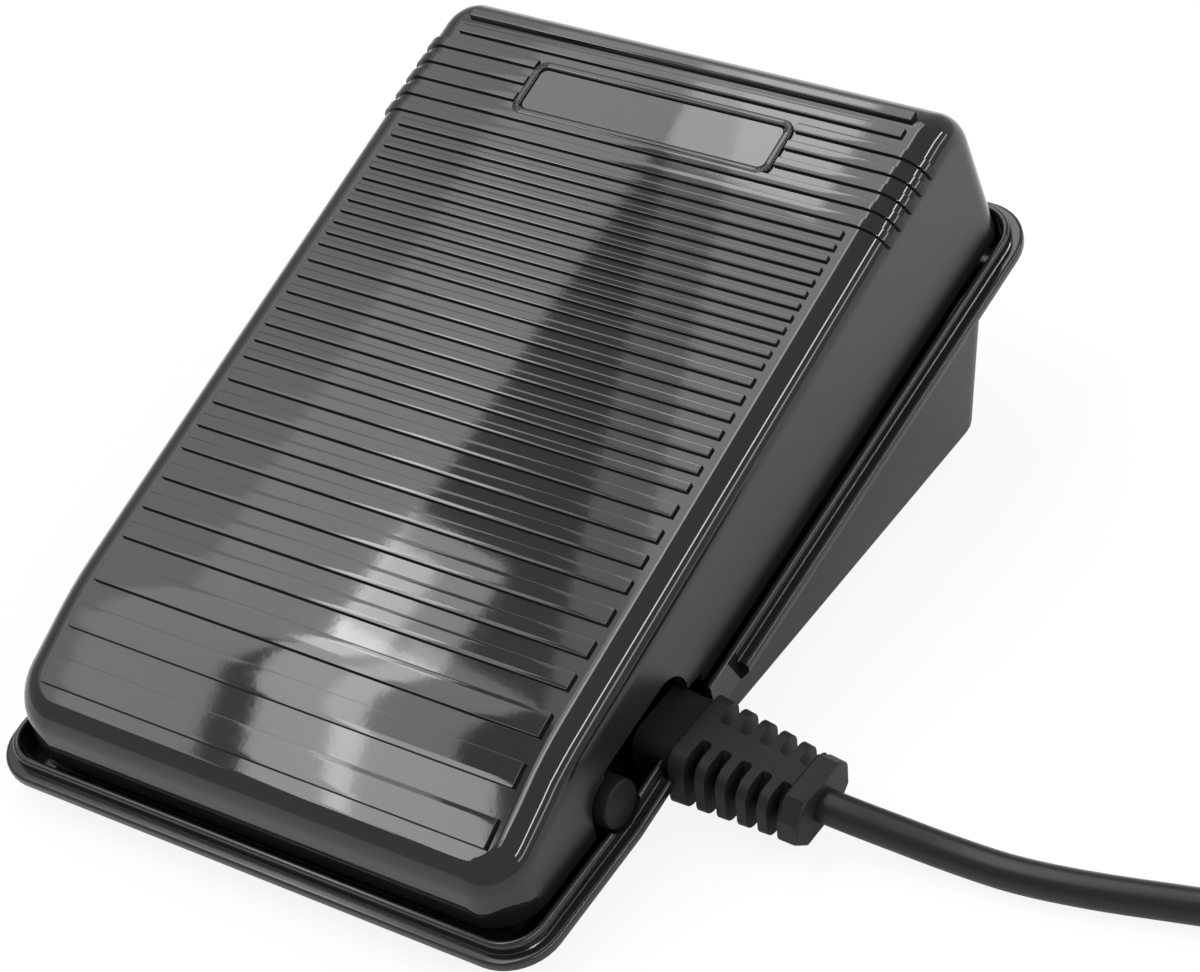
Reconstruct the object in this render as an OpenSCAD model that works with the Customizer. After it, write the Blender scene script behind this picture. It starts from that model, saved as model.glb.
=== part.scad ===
// Foot pedal that sets the speed of a sewing machine.
// X runs across the pedal, Y toward the high end, Z up. The floor is Z = 0.

/* [Overall] */
// Width across the rim of the base
overall_w = 105; // [100:1:114]
// Length across the rim of the base
overall_l = 152.2; // [150:0.2:160]
// Clear height of the base above the floor, under the feet
foot_h = 2.5; // [2:0.25:3]

/* [Rim] */
// Slope of the rim behind the hinge, in degrees
rim_tilt = 10.8; // [10:0.2:12]
// Slope of the rim in front of the hinge, in degrees
front_tilt = 4.3; // [3:0.1:5]
// Height of the middle line of the rim at the hinge
rim_z = 8.8; // [8.4:0.1:9.4]
// Width of the flat flange outside the lip
flange_w = 1.8; // [1.6:0.1:2.4]
// Depth of the flange edge
flange_t = 1.6; // [1.2:0.1:2]
// Rounding of the flange edge
flange_edge_r = 0.6; // [0.3:0.1:0.8]
// Drop of the flange top below the middle line
flange_drop = 0.5; // [0.2:0.1:0.8]
// Thickness of the lip
lip_t = 1.2; // [1:0.1:1.6]
// Height of the lip above the middle line
lip_h = 1.6; // [1.2:0.1:2]
// Corner radius of the rim at the front
rim_r = 8.4; // [7.5:0.1:10]
// Corner radius of the rim at the back
rim_back_r = 9; // [8:0.25:10]
// Gap between the lip and the treadle cover
treadle_gap = 1.1; // [0.8:0.1:1.4]
// Width of the small notch in the front edge of the flange
front_notch_w = 2; // [1:0.5:4]

/* [Base tray] */
// Half width of the bottom of the wedge
tub_hw = 47.8; // [46.5:0.1:48.5]
// Distance from the back edge of the rim to the back edge of the bottom
tub_back = 17.7; // [17:0.1:20]
// Distance from the front edge of the rim to the front edge of the bottom
tub_front = 6.4; // [5:0.1:8]
// Outward lean of the side walls, in degrees
side_flare = 7.4; // [6:0.2:8]
// Outward lean of the back wall, in degrees
rear_rake = 8; // [6:0.5:12]
// Corner radius of the wedge
tub_r = 5; // [4:0.5:6]
// Wall thickness of the wedge
tub_wall = 2.4; // [2:0.1:2.8]
// Thickness of the floor of the base
floor_t = 2.5; // [2:0.1:3]
// Depth of the straight part of the tray wall below the middle line
tray_depth = 4.1; // [3.8:0.1:4.6]
// Depth of the tray below the middle line
tray_bottom = 6.4; // [6.1:0.1:7]
// Width of the chamfer under the tray
tray_chamfer = 2.3; // [1.6:0.1:2.6]

/* [Treadle cover] */
// Height of the deck above the rim at the hinge
deck_h = 19.4; // [18.5:0.1:21]
// Slope of the deck over the slope of the rim, in degrees
deck_rise = 4.94; // [4.5:0.02:5.4]
// Rounding of the side edges of the deck and of the back corners
edge_r = 4.8; // [4.4:0.1:5.4]
// Rounding of the back edge of the deck
rear_edge_r = 8; // [7:0.25:8.5]
// Rounding of the front edge of the deck
nose_r = 5; // [4:0.25:5.5]
// Corner radius of the cover walls at the front
cover_r = 8; // [7:0.25:9]
// Wall thickness of the cover
cover_wall = 2.2; // [1.8:0.1:2.5]
// Distance along the deck from the hinge to the start of the nose bend
bend_s = 2.7; // [1:0.1:4]
// Radius of the nose bend
bend_r = 60; // [55:1:70]
// Length of the nose bend, along the deck
bend_l = 12; // [10:0.5:13]
// Height of the centre of the nose rounding above the floor
nose_z = 14.4; // [13.8:0.1:15]
// Height of the lower edge of the cover above the middle line
cover_lift = 1; // [0.8:0.1:1.2]
// Depth of the stiffening ribs under the deck
stiffener_h = 4; // [2:0.5:5]
// Thickness of the stiffening ribs
stiffener_t = 1.6; // [1.2:0.1:2]
// Distance of the side stiffening ribs from the middle
stiffener_x = 16; // [13:0.5:18]
// Length of the stiffening ribs
stiffener_l = 80; // [60:1:90]

/* [Tread ribs] */
// Half length of the straight ribs
tread_hw = 42.5; // [40:0.5:43.5]
// Distance from the back wall to the first rib
tread_start = 7.3; // [7:0.1:8]
// Spacing of the wide ribs at the high end
rear_pitch = 3.42; // [3.3:0.01:3.5]
// Number of ribs at the high end
rear_count = 7; // [7:1:7]
// Spacing from the high end ribs to the fine ribs
first_pitch = 2.8; // [2.5:0.1:3.2]
// Spacing of the fine ribs
fine_pitch = 2.285; // [2.2:0.005:2.3]
// Number of the fine ribs
fine_count = 11; // [9:1:11]
// Spacing of the second group
second_pitch = 3.285; // [3.2:0.005:3.3]
// Number of ribs in the second group
second_count = 7; // [6:1:7]
// Spacing of the third group
third_pitch = 4.59; // [4.5:0.01:4.7]
// Number of ribs in the third group
third_count = 4; // [3:1:4]
// Spacing of the fourth group
fourth_pitch = 5.76; // [5.6:0.02:5.8]
// Number of ribs in the fourth group
fourth_count = 3; // [2:1:3]
// Spacing of the group over the nose
nose_pitch = 8.2; // [7.8:0.1:8.4]
// Number of ribs over the nose
nose_count = 2; // [2:1:2]
// Spacing of the last rib
last_pitch = 9.5; // [9:0.1:9.8]
// Share of each space taken by the raised rib
rib_share = 0.5; // [0.45:0.01:0.6]
// Height of the fine ribs
rib_h = 0.5; // [0.4:0.05:0.7]
// Height of the ribs over the nose
nose_rib_h = 0.65; // [0.5:0.05:0.8]
// Distance that the wrapped ribs reach down the rounded side edges
wrap_drop = 4; // [3:0.2:4.4]

/* [Plate] */
// Width of the recess for the plate
plate_w = 47; // [40:0.5:49]
// Length of the recess for the plate
plate_l = 8.3; // [7.8:0.1:8.6]
// Distance from the back wall to the middle of the recess
plate_back = 17.9; // [17.5:0.1:18.4]
// Depth of the recess
plate_depth = 0.8; // [0.6:0.1:1]
// Thickness of the plate
plate_t = 0.5; // [0.4:0.1:0.7]
// Width of the raised frame round the recess
frame_w = 1.3; // [1:0.1:1.5]
// Height of the raised frame
frame_h = 0.6; // [0.4:0.1:0.8]

/* [Hinge] */
// Distance of the hinge from the front edge of the rim
hinge_from_front = 29.4; // [28.8:0.1:30.5]
// Distance of the hinge in front of the origin
hinge_ahead = 46; // [45:0.5:47]
// Height of the hinge axis
hinge_z = 12.8; // [12.4:0.1:13.2]
// Travel of the treadle, in degrees
treadle_travel = 2.5; // [2:0.1:2.6]
// Radius of the hinge pins
pin_r = 2.2; // [1.8:0.1:2.6]
// Radius of the heads of the hinge pins
pin_head_r = 3.9; // [3.4:0.1:4.2]
// Distance that the pin heads stand out from the cover
pin_proud = 2; // [1.5:0.1:2.3]
// Thickness of the hinge lugs of the base
lug_t = 4.5; // [3.5:0.25:5]
// Thickness of the hinge ears of the cover
ear_t = 4; // [3:0.25:5]
// Radius of the rounded ends of lugs and ears
lug_r = 5; // [4.4:0.1:5.4]

/* [Cord opening] */
// Distance from the hinge to the back end of the gap in the flange
flange_gap_end = 31; // [29:0.5:33]
// Distance from the hinge to the front end of the gap in the flange
flange_gap_start = 9.3; // [8.5:0.1:9.8]
// Distance from the hinge to the back end of the arch in the cover wall
arch_l = 21.6; // [21:0.1:24]
// Height of the arch above the hinge
arch_rise = 5.7; // [5.4:0.1:6.2]
// Height of the arch at its back end
arch_top = 21.4; // [20.5:0.1:22]
// Rounding of the back end of the arch
arch_r = 5.2; // [4:0.2:5.6]
// Distance from the hinge to the back end of the low step beside the arch
step_l = 25; // [24.5:0.1:26]
// Height of the low step beside the arch
step_top = 16.2; // [16:0.1:16.8]

/* [Strain relief] */
// Distance from the hinge to the middle of the strain relief
relief_back = 17.2; // [16.8:0.1:17.6]
// Height of the middle of the strain relief in the wall
relief_z = 9.1; // [9:0.1:9.4]
// Droop of the strain relief, in degrees
relief_droop = 7.7; // [6.5:0.1:8]
// Width of the strain relief
relief_w = 13.2; // [12.5:0.1:13.6]
// Height of the strain relief
relief_h = 10.4; // [10:0.1:10.6]
// Corner rounding of the strain relief
relief_r = 2.6; // [1.5:0.1:3]
// Spacing of the ribs of the strain relief
relief_pitch = 3.46; // [3.2:0.02:3.6]
// Number of ribs of the strain relief
relief_ribs = 4; // [3:1:4]
// Width of the slots between the ribs
relief_slot = 1.8; // [1.4:0.1:2]
// Width of the spine between the slots
relief_spine = 4.1; // [3.5:0.1:5]
// Length of the end collar
collar_l = 4.8; // [4:0.2:5]
// Amount by which the end collar is wider than the ribs, each side
collar_grow = 0.5; // [0:0.1:0.6]
// Wall of the sleeve round the cord
relief_core_t = 0.9; // [0.6:0.1:1.2]
// Distance that the root stands out from the wall
root_proud = 1.3; // [1:0.1:1.8]
// Depth of the root behind the face of the wall
root_l = 5.4; // [5:0.1:6]
// Thickness of the flange of the root inside the wall
root_flange_t = 2; // [1.5:0.1:2.5]
// Amount by which the root flange is larger than the root, each side
root_flange_grow = 1.2; // [0.8:0.1:1.6]

/* [Cord] */
// Diameter of the cord
cord_d = 5.4; // [5:0.1:5.6]
// Middle radius of the turns of the coil
coil_r = 30; // [28:0.5:31]
// Number of turns side by side
coil_wide = 3; // [3:1:3]
// Number of layers of turns
coil_layers = 2; // [2:1:3]
// Width of the coil tie
tie_w = 8; // [6:0.5:10]
// Thickness of the coil tie
tie_t = 1.2; // [0.8:0.1:1.6]

/* [Plug] */
// Length of the plug body
plug_l = 32; // [28:1:36]
// Width of the plug body
plug_w = 22; // [20:1:24]
// Height of the plug body
plug_h = 13; // [12:0.5:15]
// Edge rounding of the plug body
plug_r = 4; // [2:0.5:5]
// Radius of the sleeve behind the plug body
sleeve_r = 5.5; // [4.5:0.1:6]
// Length of the sleeve behind the plug body
sleeve_l = 12; // [10:1:16]
// Radius of the plug pins
plug_pin_r = 2; // [1.5:0.1:2.4]
// Length of the plug pins
plug_pin_l = 17; // [12:1:19]
// Spacing of the plug pins
plug_pin_gap = 11; // [9:0.5:13]

/* [Feet] */
// Radius of the feet
foot_r = 6.5; // [5:0.5:8]
// Depth of the seats of the feet in the floor
foot_seat = 1; // [0.6:0.1:1.4]
// Edge rounding of the feet
foot_edge_r = 0.8; // [0.4:0.1:1]
// Distance of the feet from the middle, across
foot_x = 37; // [34:0.5:39]
// Distance from the front edge of the rim to the front feet
foot_front = 17.4; // [16:0.1:20]
// Distance from the back edge of the rim to the back feet
foot_back = 28.8; // [27:0.2:32]

/* [Return springs] */
// Distance of the springs from the middle, across
spring_x = 26; // [24:0.5:29]
// Distance from the back edge of the rim to the springs
spring_back = 30.8; // [30:0.1:32]
// Outer radius of the springs
spring_r = 4.5; // [4:0.1:5]
// Radius of the spring wire
spring_wire_r = 0.6; // [0.5:0.05:0.7]
// Number of turns
spring_turns = 7; // [6:1:8]
// Length of the springs at rest
spring_l = 36; // [35:0.5:38]
// Height of the spring seats above the floor of the base
spring_seat_h = 3; // [2:0.5:4]
// Wall of the spring cups under the cover
cup_wall = 1.8; // [1.4:0.1:2.2]
// Depth that the springs go into the cups
cup_depth = 6; // [4:0.5:8]

/* [Speed control] */
// Y of the middle of the control
control_y = 24; // [23:0.5:25]
// Width of the control housing
control_w = 20; // [18:0.5:22]
// Length of the control housing
control_l = 14; // [13.5:0.5:15]
// Height of the control housing
control_h = 19.4; // [19:0.2:21]
// Wall of the control housing
control_wall = 1.6; // [1.4:0.1:1.8]
// Radius of the slider stem
stem_r = 3; // [2.5:0.1:3.5]
// Distance that the stem stands out of the housing
stem_out = 6.6; // [6:0.1:7]
// Thickness of the slider carriage
carriage_t = 4; // [3:0.25:5]
// Length of the slider carriage
carriage_l = 8; // [7:0.25:8.5]
// Radius of the pusher boss and its pad
pusher_r = 4; // [3.6:0.1:5]
// Thickness of the pusher pad
pad_t = 1.6; // [1:0.1:2]
// Thickness of the resistance track
track_t = 0.5; // [0.3:0.1:0.6]
// Width of the resistance track
track_w = 10; // [8:0.5:12]
// Thickness of the wiper
wiper_t = 0.4; // [0.3:0.05:0.5]
// Width of the wiper
wiper_w = 6; // [4:0.5:8]
// Distance that the wiper hangs below the carriage
wiper_drop = 2; // [1.5:0.1:2.5]
// Number of turns of the slider spring
slider_turns = 5; // [4:1:6]
// Outer radius of the slider spring
slider_spring_r = 3; // [2.6:0.1:3.4]
// Radius of the slider spring wire
slider_wire_r = 0.35; // [0.25:0.05:0.4]

/* [Circuit board] */
// Width of the board
board_w = 72; // [70:1:74]
// Y of the front edge of the board
board_front_y = -16; // [-17:0.5:-15]
// Y of the back edge of the board
board_back_y = 34; // [33.5:0.5:36]
// Thickness of the board
board_t = 1.6; // [1.2:0.1:2]
// Height of the board posts above the floor of the base
board_post_h = 4; // [3:0.5:5]
// Radius of the board posts
board_post_r = 3.2; // [2.8:0.1:3.6]
// Distance of the board screws from the board edges
board_screw_in = 4; // [3.5:0.25:5]
// Radius of the screw shanks
screw_r = 1.2; // [1:0.05:1.3]
// Radius of the screw heads
screw_head_r = 2.5; // [2.2:0.1:2.8]
// Height of the screw heads
screw_head_h = 1.7; // [1.2:0.1:2]

/* [Components] */
// Width of the heat sink
sink_w = 20; // [16:1:22]
// Height of the heat sink
sink_h = 22; // [20:1:24]
// Thickness of the heat sink plate and fins
sink_t = 2; // [1.5:0.25:2.5]
// Length of the heat sink fins
fin_l = 7; // [5:0.5:8]
// Number of heat sink fins
fin_count = 5; // [4:1:5]
// X of the heat sink
sink_x = -23; // [-25:0.5:-22]
// Y of the front face of the heat sink
sink_y = 16; // [15:0.5:17]
// Width of the triac
triac_w = 10; // [9:0.5:10.5]
// Thickness of the triac body
triac_t = 4.4; // [4:0.1:4.8]
// Height of the triac body
triac_h = 9; // [8:0.5:10]
// Thickness of the triac tab
tab_t = 1.3; // [1:0.1:1.5]
// Height of the triac tab above the body
tab_h = 6.4; // [6:0.2:7]
// Length of the triac legs
leg_l = 4; // [3:0.5:5]
// Width of the suppressor capacitor
capacitor_w = 18; // [14:0.5:19]
// Length of the suppressor capacitor
capacitor_l = 7; // [6:0.5:8]
// Height of the suppressor capacitor
capacitor_h = 12; // [10:0.5:14]
// Y of the front face of the suppressor capacitor
capacitor_y = 3; // [1:0.5:6]
// Distance of the side components from the middle
right_x = 20; // [19.5:0.25:20.25]
// Middle radius of the choke ring
choke_r = 7; // [6:0.25:7.5]
// Radius of the choke section
choke_section_r = 3.2; // [2.6:0.1:3.6]
// Radius of the timing capacitor
timing_r = 4; // [3:0.25:4.5]
// Height of the timing capacitor
timing_h = 11; // [9:0.5:13]
// Y of the timing capacitor
timing_y = -5.3; // [-8:0.1:-4]
// Side of the trimmer
trimmer_w = 7; // [6:0.25:8]
// Height of the trimmer
trimmer_h = 4; // [3:0.25:5]
// Radius of the resistors
resistor_r = 1.25; // [1:0.05:1.5]
// Length of the resistors
resistor_l = 7; // [6:0.25:8]
// Spacing of the resistors
resistor_pitch = 3.75; // [3.5:0.05:4]
// Number of resistors
resistor_count = 3; // [2:1:3]
// Width of the terminal block
terminal_w = 18; // [16:0.5:18]
// Length of the terminal block
terminal_l = 9; // [8:0.25:10]
// Height of the terminal block
terminal_h = 10; // [9:0.25:12]
// Distance of the terminal block from the front edge of the board
terminal_in = 2; // [1:0.25:3]
// Spacing of the two terminals
terminal_gap = 8; // [7:0.25:8.5]
// Radius of the core leads
lead_r = 1.1; // [0.9:0.05:1.2]
// Height of the core leads above the board, in the terminals
lead_h = 4; // [3:0.1:4.5]

/* [Cord clamp] */
// X of the middle of the clamp
clamp_x = 32.5; // [31.5:0.25:33]
// Width of the clamp
clamp_w = 6; // [5:0.25:6.5]
// Distance between the clamp screws
clamp_gap = 14.4; // [14:0.2:15.5]
// Thickness of the clamp over the cord
clamp_t = 1.6; // [1.2:0.1:2]

/* [Fits] */
// Gap round running pins and stems
run_fit = 0.06; // [0.03:0.01:0.1]
// Gap between pieces that move past one another
move_gap = 0.45; // [0.4:0.05:0.6]
// Gap round pieces that are set in a seat
seat_gap = 0.15; // [0.1:0.05:0.2]
// Gap between the coil and its tie
tie_gap = 0.45; // [0.4:0.05:0.6]

/* [Hidden] */
$fn = 48;
hull_fn = 28;
half_w = overall_w / 2;
hinge_y = -hinge_ahead;
front_edge_y = hinge_y - hinge_from_front;
back_edge_y = front_edge_y + overall_l;
rear_p = (overall_l - hinge_from_front) / cos(rim_tilt);
front_p = hinge_from_front / cos(front_tilt);
lip_in = flange_w + lip_t;
cover_in = lip_in + treadle_gap;
cover_hw = half_w - cover_in;
cover_rear_p = rear_p - cover_in;
floor_z = foot_h + floor_t;
// Reach of the blocks that cut right through
big = 200;
// Overlap of the pieces that are joined
skin = 0.5;
// Thickness of the thin discs that the rounded bodies are stretched between
slab = 0.1;
// Height of the wedge before the plane of the rim trims it
tub_h = 40;
tub_rear_y = back_edge_y - tub_back;
tub_front_y = front_edge_y + tub_front;
foot_front_y = front_edge_y + foot_front;
foot_back_y = back_edge_y - foot_back;
spring_y = back_edge_y - spring_back;
flange_gap_back = hinge_y + flange_gap_end;
flange_gap_front = hinge_y + flange_gap_start;
arch_back = hinge_y + arch_l;
step_back = hinge_y + step_l;
relief_y = hinge_y + relief_back;
// Length by which the two runs of the rim overlap at the hinge
lap = 1.2;
// Depth under the outer face of the cover at which its inside pieces end
fitting_in = 1;
corner_fn = 32;
cord_sides = 10;
bore_sides = 12;
lead_sides = 8;
wire_sides = 6;
spring_steps = 12;
slider_steps = 10;
path_steps = 4;
black = [0.03, 0.03, 0.03];
dark = [0.1, 0.1, 0.11];
rubber_black = [0.05, 0.05, 0.05];
steel = [0.7, 0.7, 0.72];
aluminium = [0.75, 0.75, 0.76];
brass = [0.8, 0.62, 0.3];
laminate = [0.25, 0.3, 0.15];
white = [0.85, 0.85, 0.8];
yellow = [0.75, 0.6, 0.2];
copper = [0.45, 0.25, 0.1];
navy = [0.15, 0.2, 0.35];
blue = [0.2, 0.3, 0.6];
tan_body = [0.7, 0.6, 0.45];
green = [0.2, 0.35, 0.25];
// Points of the rim planes in the side view
function rear_y(p, q) = hinge_y + p * cos(rim_tilt) - q * sin(rim_tilt);
function rear_z(p, q) = rim_z + p * sin(rim_tilt) + q * cos(rim_tilt);
function front_y(p, q) = hinge_y + p * cos(front_tilt) - q * sin(front_tilt);
function front_z(p, q) = rim_z + p * sin(front_tilt) + q * cos(front_tilt);
// Side view points of the cover in the rim frame
function deck_q(p) = deck_h + p * tan(deck_rise);
nose_y = front_edge_y + cover_in + nose_r;
nose_p = (nose_y - hinge_y) * cos(rim_tilt) + (nose_z - rim_z) * sin(rim_tilt);
nose_q = (nose_z - rim_z) * cos(rim_tilt) - (nose_y - hinge_y) * sin(rim_tilt);
skirt_q = -6;
skirt_p = nose_p - nose_r - (nose_q - skirt_q) * tan(rim_tilt);
// The deck bends down over the nose and then runs on straight
function deck_point(s, h) = s >= bend_s ? [s, h]
    : let (a = min(bend_s - s, bend_l) / bend_r * 180 / PI, m = max(bend_s - s - bend_l, 0))
      [bend_s - (bend_r + h) * sin(a) - m * cos(a), (bend_r + h) * cos(a) - bend_r - m * sin(a)];
// Positions and spacings of the tread ribs along the deck, from the high end
rear_s = cover_rear_p / cos(deck_rise) - tread_start;
function steps(n, pitch) = [for (i = [1 : n]) pitch];
main_pitches = concat([first_pitch], steps(fine_count, fine_pitch), steps(second_count, second_pitch),
    steps(third_count, third_pitch), steps(fourth_count, fourth_pitch), steps(nose_count, nose_pitch),
    [last_pitch]);
main_start = rear_s - (rear_count - 1) * rear_pitch;
function sum_to(list, n) = n < 0 ? 0 : list[n] + sum_to(list, n - 1);
function rib_top(pitch) = rib_h + (nose_rib_h - rib_h) * (pitch - fine_pitch) / (nose_pitch - fine_pitch);
plate_s = cover_rear_p / cos(deck_rise) - plate_back;
plain_ribs = 2;
// Wall opening and strain relief
panel_x = half_w - flange_w - seat_gap;
root_out = panel_x + root_proud;
slot_hw = relief_w / 2 + seat_gap;
slot_bottom = relief_z - relief_h / 2 - seat_gap;
cord_r = cord_d / 2;
relief_l = relief_slot + relief_ribs * relief_pitch + collar_l;
relief_end_x = root_out + relief_l * cos(relief_droop);
relief_end_z = relief_z - relief_l * sin(relief_droop);
relief_core_r = cord_r + relief_core_t;
root_in_x = panel_x - root_l;
// Route of the cord from its cut end inside to the coil, in round numbers
coil_x = 176;
coil_y = 24;
coil_a = -76;
lead_end = [coil_x + (coil_r + cord_d) * cos(coil_a), coil_y + (coil_r + cord_d) * sin(coil_a), cord_r];
cord_cut_x = 27;
lead_route = [
    [cord_cut_x, relief_y, relief_z],
    [38, relief_y, relief_z],
    [root_out - 2, relief_y, relief_z],
    [root_out + 2, relief_y, relief_z - 2 * tan(relief_droop)],
    [relief_end_x, relief_y, relief_end_z],
    [85, relief_y + 1, 4.3],
    [95, -27, 3],
    [104, -26.4, cord_r],
    [115, -24.6, cord_r],
    [129, -21.3, cord_r],
    [145, -17.5, cord_r],
    [165, -12.8, cord_r],
    lead_end];
tail_a = -48;
tail_r = coil_r + cord_d;
tail_start = [coil_x + tail_r * cos(tail_a), coil_y + tail_r * sin(tail_a), 1.5 * cord_d];
plug_x = 262;
plug_y = 32;
plug_axis_z = plug_h / 2;
tail_route = [
    tail_start,
    [tail_start[0] + 10, tail_start[1] + 9, 7.7],
    [tail_start[0] + 20, 16.6, 5.2],
    [230, 25, 4.2],
    [241, 31, 5.6],
    [plug_x - sleeve_l, plug_y, plug_axis_z],
    [plug_x - 3 * sleeve_l / 4, plug_y, plug_axis_z],
    [plug_x - sleeve_l / 2, plug_y, plug_axis_z]];
// Heights of the inside pieces
board_z = floor_z + board_post_h;
top_z = board_z + board_t;
spring_z = floor_z + spring_seat_h;
spring_top = spring_z + spring_l;
control_top = top_z + control_h;
stem_top = control_top + stem_out;
pad_z = stem_top + move_gap;
pusher_z = pad_z + pad_t;
lug_x = cover_hw - cover_wall - move_gap;
ear_x = lug_x - lug_t - move_gap;
carriage_top = control_top - control_wall - move_gap;
carriage_w = control_w - 2 * control_wall - 2 * move_gap;
control_floor = top_z + control_wall;
control_back = control_y + control_l / 2 - control_wall;
board_mid_y = (board_front_y + board_back_y) / 2;
board_posts_x = board_w / 2 - board_screw_in;
board_posts_y = (board_back_y - board_front_y) / 2 - board_screw_in;
terminal_y = board_front_y + terminal_in + terminal_l / 2;
lead_z = top_z + lead_h;
bite_z = lead_z + lead_r + seat_gap / 3;
pilot_r = screw_r + seat_gap / 3;
clear_r = screw_r + seat_gap;
clamp_top = relief_z + cord_r + clamp_t;

// Shared shapes

// Turn the side view (Y, Z) into a slab across the pedal
module along_x(w) {
    rotate([90, 0, 90]) linear_extrude(w, center = true) children();
}

module rim_frame() {
    translate([0, hinge_y, rim_z]) rotate([rim_tilt, 0, 0]) children();
}

module front_frame() {
    translate([0, hinge_y, rim_z]) rotate([front_tilt, 0, 0]) children();
}

module deck_frame() {
    rim_frame() translate([0, 0, deck_h]) rotate([deck_rise, 0, 0]) children();
}

module both_sides() {
    children();
    mirror([1, 0, 0]) children();
}

module rounded_rect(w, l, r) {
    square([w - 2 * r, l], center = true);
    square([w, l - 2 * r], center = true);
    for (x = [-1, 1], y = [-1, 1]) {
        translate([x * (w / 2 - r), y * (l / 2 - r)]) circle(r);
    }
}

function unit(v) = v / norm(v);
function path_dir(path, i) = unit(path[min(i + 1, len(path) - 1)] - path[max(i - 1, 0)]);
function ring_side(t) = unit(cross(t, [0, 0, 1]));
function ring(path, i, r, sides) = let (t = path_dir(path, i), u = ring_side(t), v = cross(u, t))
    [for (k = [0 : sides - 1]) path[i] + r * (cos(360 * k / sides) * u + sin(360 * k / sides) * v)];

// Round tube along a path
module tube(path, r, sides) {
    rings = len(path);
    polyhedron(
        points = [for (i = [0 : rings - 1]) each ring(path, i, r, sides)],
        faces = concat(
            [[for (k = [sides - 1 : -1 : 0]) k]],
            [for (i = [0 : rings - 2], k = [0 : sides - 1])
                let (a = i * sides + k, b = i * sides + (k + 1) % sides)
                each [[a, b + sides, a + sides], [a, b, b + sides]]],
            [[for (k = [0 : sides - 1]) (rings - 1) * sides + k]]));
}

// Smooth curve through the route points
function spline(a, b, c, d, t) = 0.5 * (2 * b + (c - a) * t + (2 * a - 5 * b + 4 * c - d) * t * t
    + (3 * b - a - 3 * c + d) * t * t * t);
function smooth(route, n) = let (last = len(route) - 1)
    concat([for (i = [0 : last - 1], k = [0 : n - 1])
        spline(route[max(i - 1, 0)], route[i], route[i + 1], route[min(i + 2, last)], k / n)], [route[last]]);

// Compression spring standing on z = 0 with closed ends
module coil_spring(l, r, wire_r, turns, steps_per_turn) {
    rise = l - 2 * wire_r;
    closed = 0.75;
    path = [for (i = [0 : turns * steps_per_turn])
        let (a = i / steps_per_turn, f = min(max((a - closed) / (turns - 2 * closed), 0), 1))
        [(r - wire_r) * cos(360 * a), (r - wire_r) * sin(360 * a), wire_r + rise * f]];
    tube(path, wire_r, wire_sides);
}

module screw(head_z, length) {
    translate([0, 0, head_z]) cylinder(h = screw_head_h, r = screw_head_r);
    translate([0, 0, head_z - length]) cylinder(h = length + skin, r = screw_r);
}

// Base housing

// Section of the rim, measured from its outer edge
module rim_section() {
    round_w = lip_t / 4;
    polygon([
        [-lip_in, -tray_depth],
        [-lip_in, lip_h - round_w],
        [-lip_in + round_w, lip_h],
        [-flange_w - round_w, lip_h],
        [-flange_w, lip_h - round_w],
        [-flange_w, -flange_drop],
        [-flange_edge_r, -flange_drop],
        [0, -flange_drop - flange_edge_r],
        [0, -flange_drop - flange_t + flange_edge_r],
        [-flange_edge_r, -flange_drop - flange_t],
        [-flange_w, -tray_depth]]);
}

// Rim from the hinge round one end of the base
module rim_run(end_p, r) {
    both_sides() {
        translate([half_w, end_p - r, 0]) rotate([90, 0, 0]) {
            linear_extrude(end_p - r + lap) rim_section();
        }
        translate([half_w - r, end_p - r, 0]) rotate_extrude(angle = 90) {
            translate([r, 0]) rim_section();
        }
    }
    translate([0, end_p, 0]) along_x(2 * (half_w - r)) rim_section();
}

// Both runs of the rim, cut to meet in the plane of the hinge
module rim() {
    intersection() {
        rim_frame() rim_run(rear_p, rim_back_r);
        translate([-big / 2, hinge_y, -big / 2]) cube(big);
    }
    intersection() {
        front_frame() mirror([0, 1, 0]) rim_run(front_p, rim_r);
        translate([-big / 2, hinge_y - big, -big / 2]) cube(big);
    }
}

module tub_post(y, z, lean, shrink) {
    x = tub_hw - tub_r + (z - foot_h) * tan(side_flare);
    for (side = [-1, 1]) {
        translate([side * x, y + (z - foot_h) * tan(lean), z]) {
            cylinder(h = slab, r = tub_r - shrink, $fn = corner_fn);
        }
    }
}

module tub_block(shrink, bottom, top) {
    hull() {
        tub_post(tub_front_y + tub_r, bottom, -side_flare, shrink);
        tub_post(tub_front_y + tub_r, top, -side_flare, shrink);
        tub_post(tub_rear_y - tub_r, bottom, rear_rake, shrink);
        tub_post(tub_rear_y - tub_r, top, rear_rake, shrink);
    }
}

// Wedge and tray under the rim
module base_body() {
    intersection() {
        tub_block(0, foot_h, foot_h + tub_h);
        along_x(big) polygon([
            [front_y(-big, -flange_drop), 0],
            [front_y(-big, -flange_drop), front_z(-big, -flange_drop)],
            [hinge_y, rim_z - flange_drop],
            [rear_y(big, -flange_drop), rear_z(big, -flange_drop)],
            [rear_y(big, -flange_drop), 0]]);
    }
    rim_frame() tray(rear_p, rim_back_r, tray_bottom, 0);
    front_frame() mirror([0, 1, 0]) tray(front_p, rim_r, tray_depth - skin / 2, tray_chamfer);
}

module tray(end_p, r, depth, more_in) {
    inset = flange_w + skin / 4;
    corner = r - inset;
    hull() both_sides() {
        for (p = [corner, end_p - inset - corner]) {
            translate([half_w - inset - corner, p, -tray_depth + more_in]) {
                cylinder(h = tray_depth - flange_drop - more_in, r = corner, $fn = corner_fn);
            }
            translate([half_w - inset - corner, p, -depth]) {
                cylinder(h = slab, r = corner - tray_chamfer, $fn = corner_fn);
            }
        }
    }
}

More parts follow.
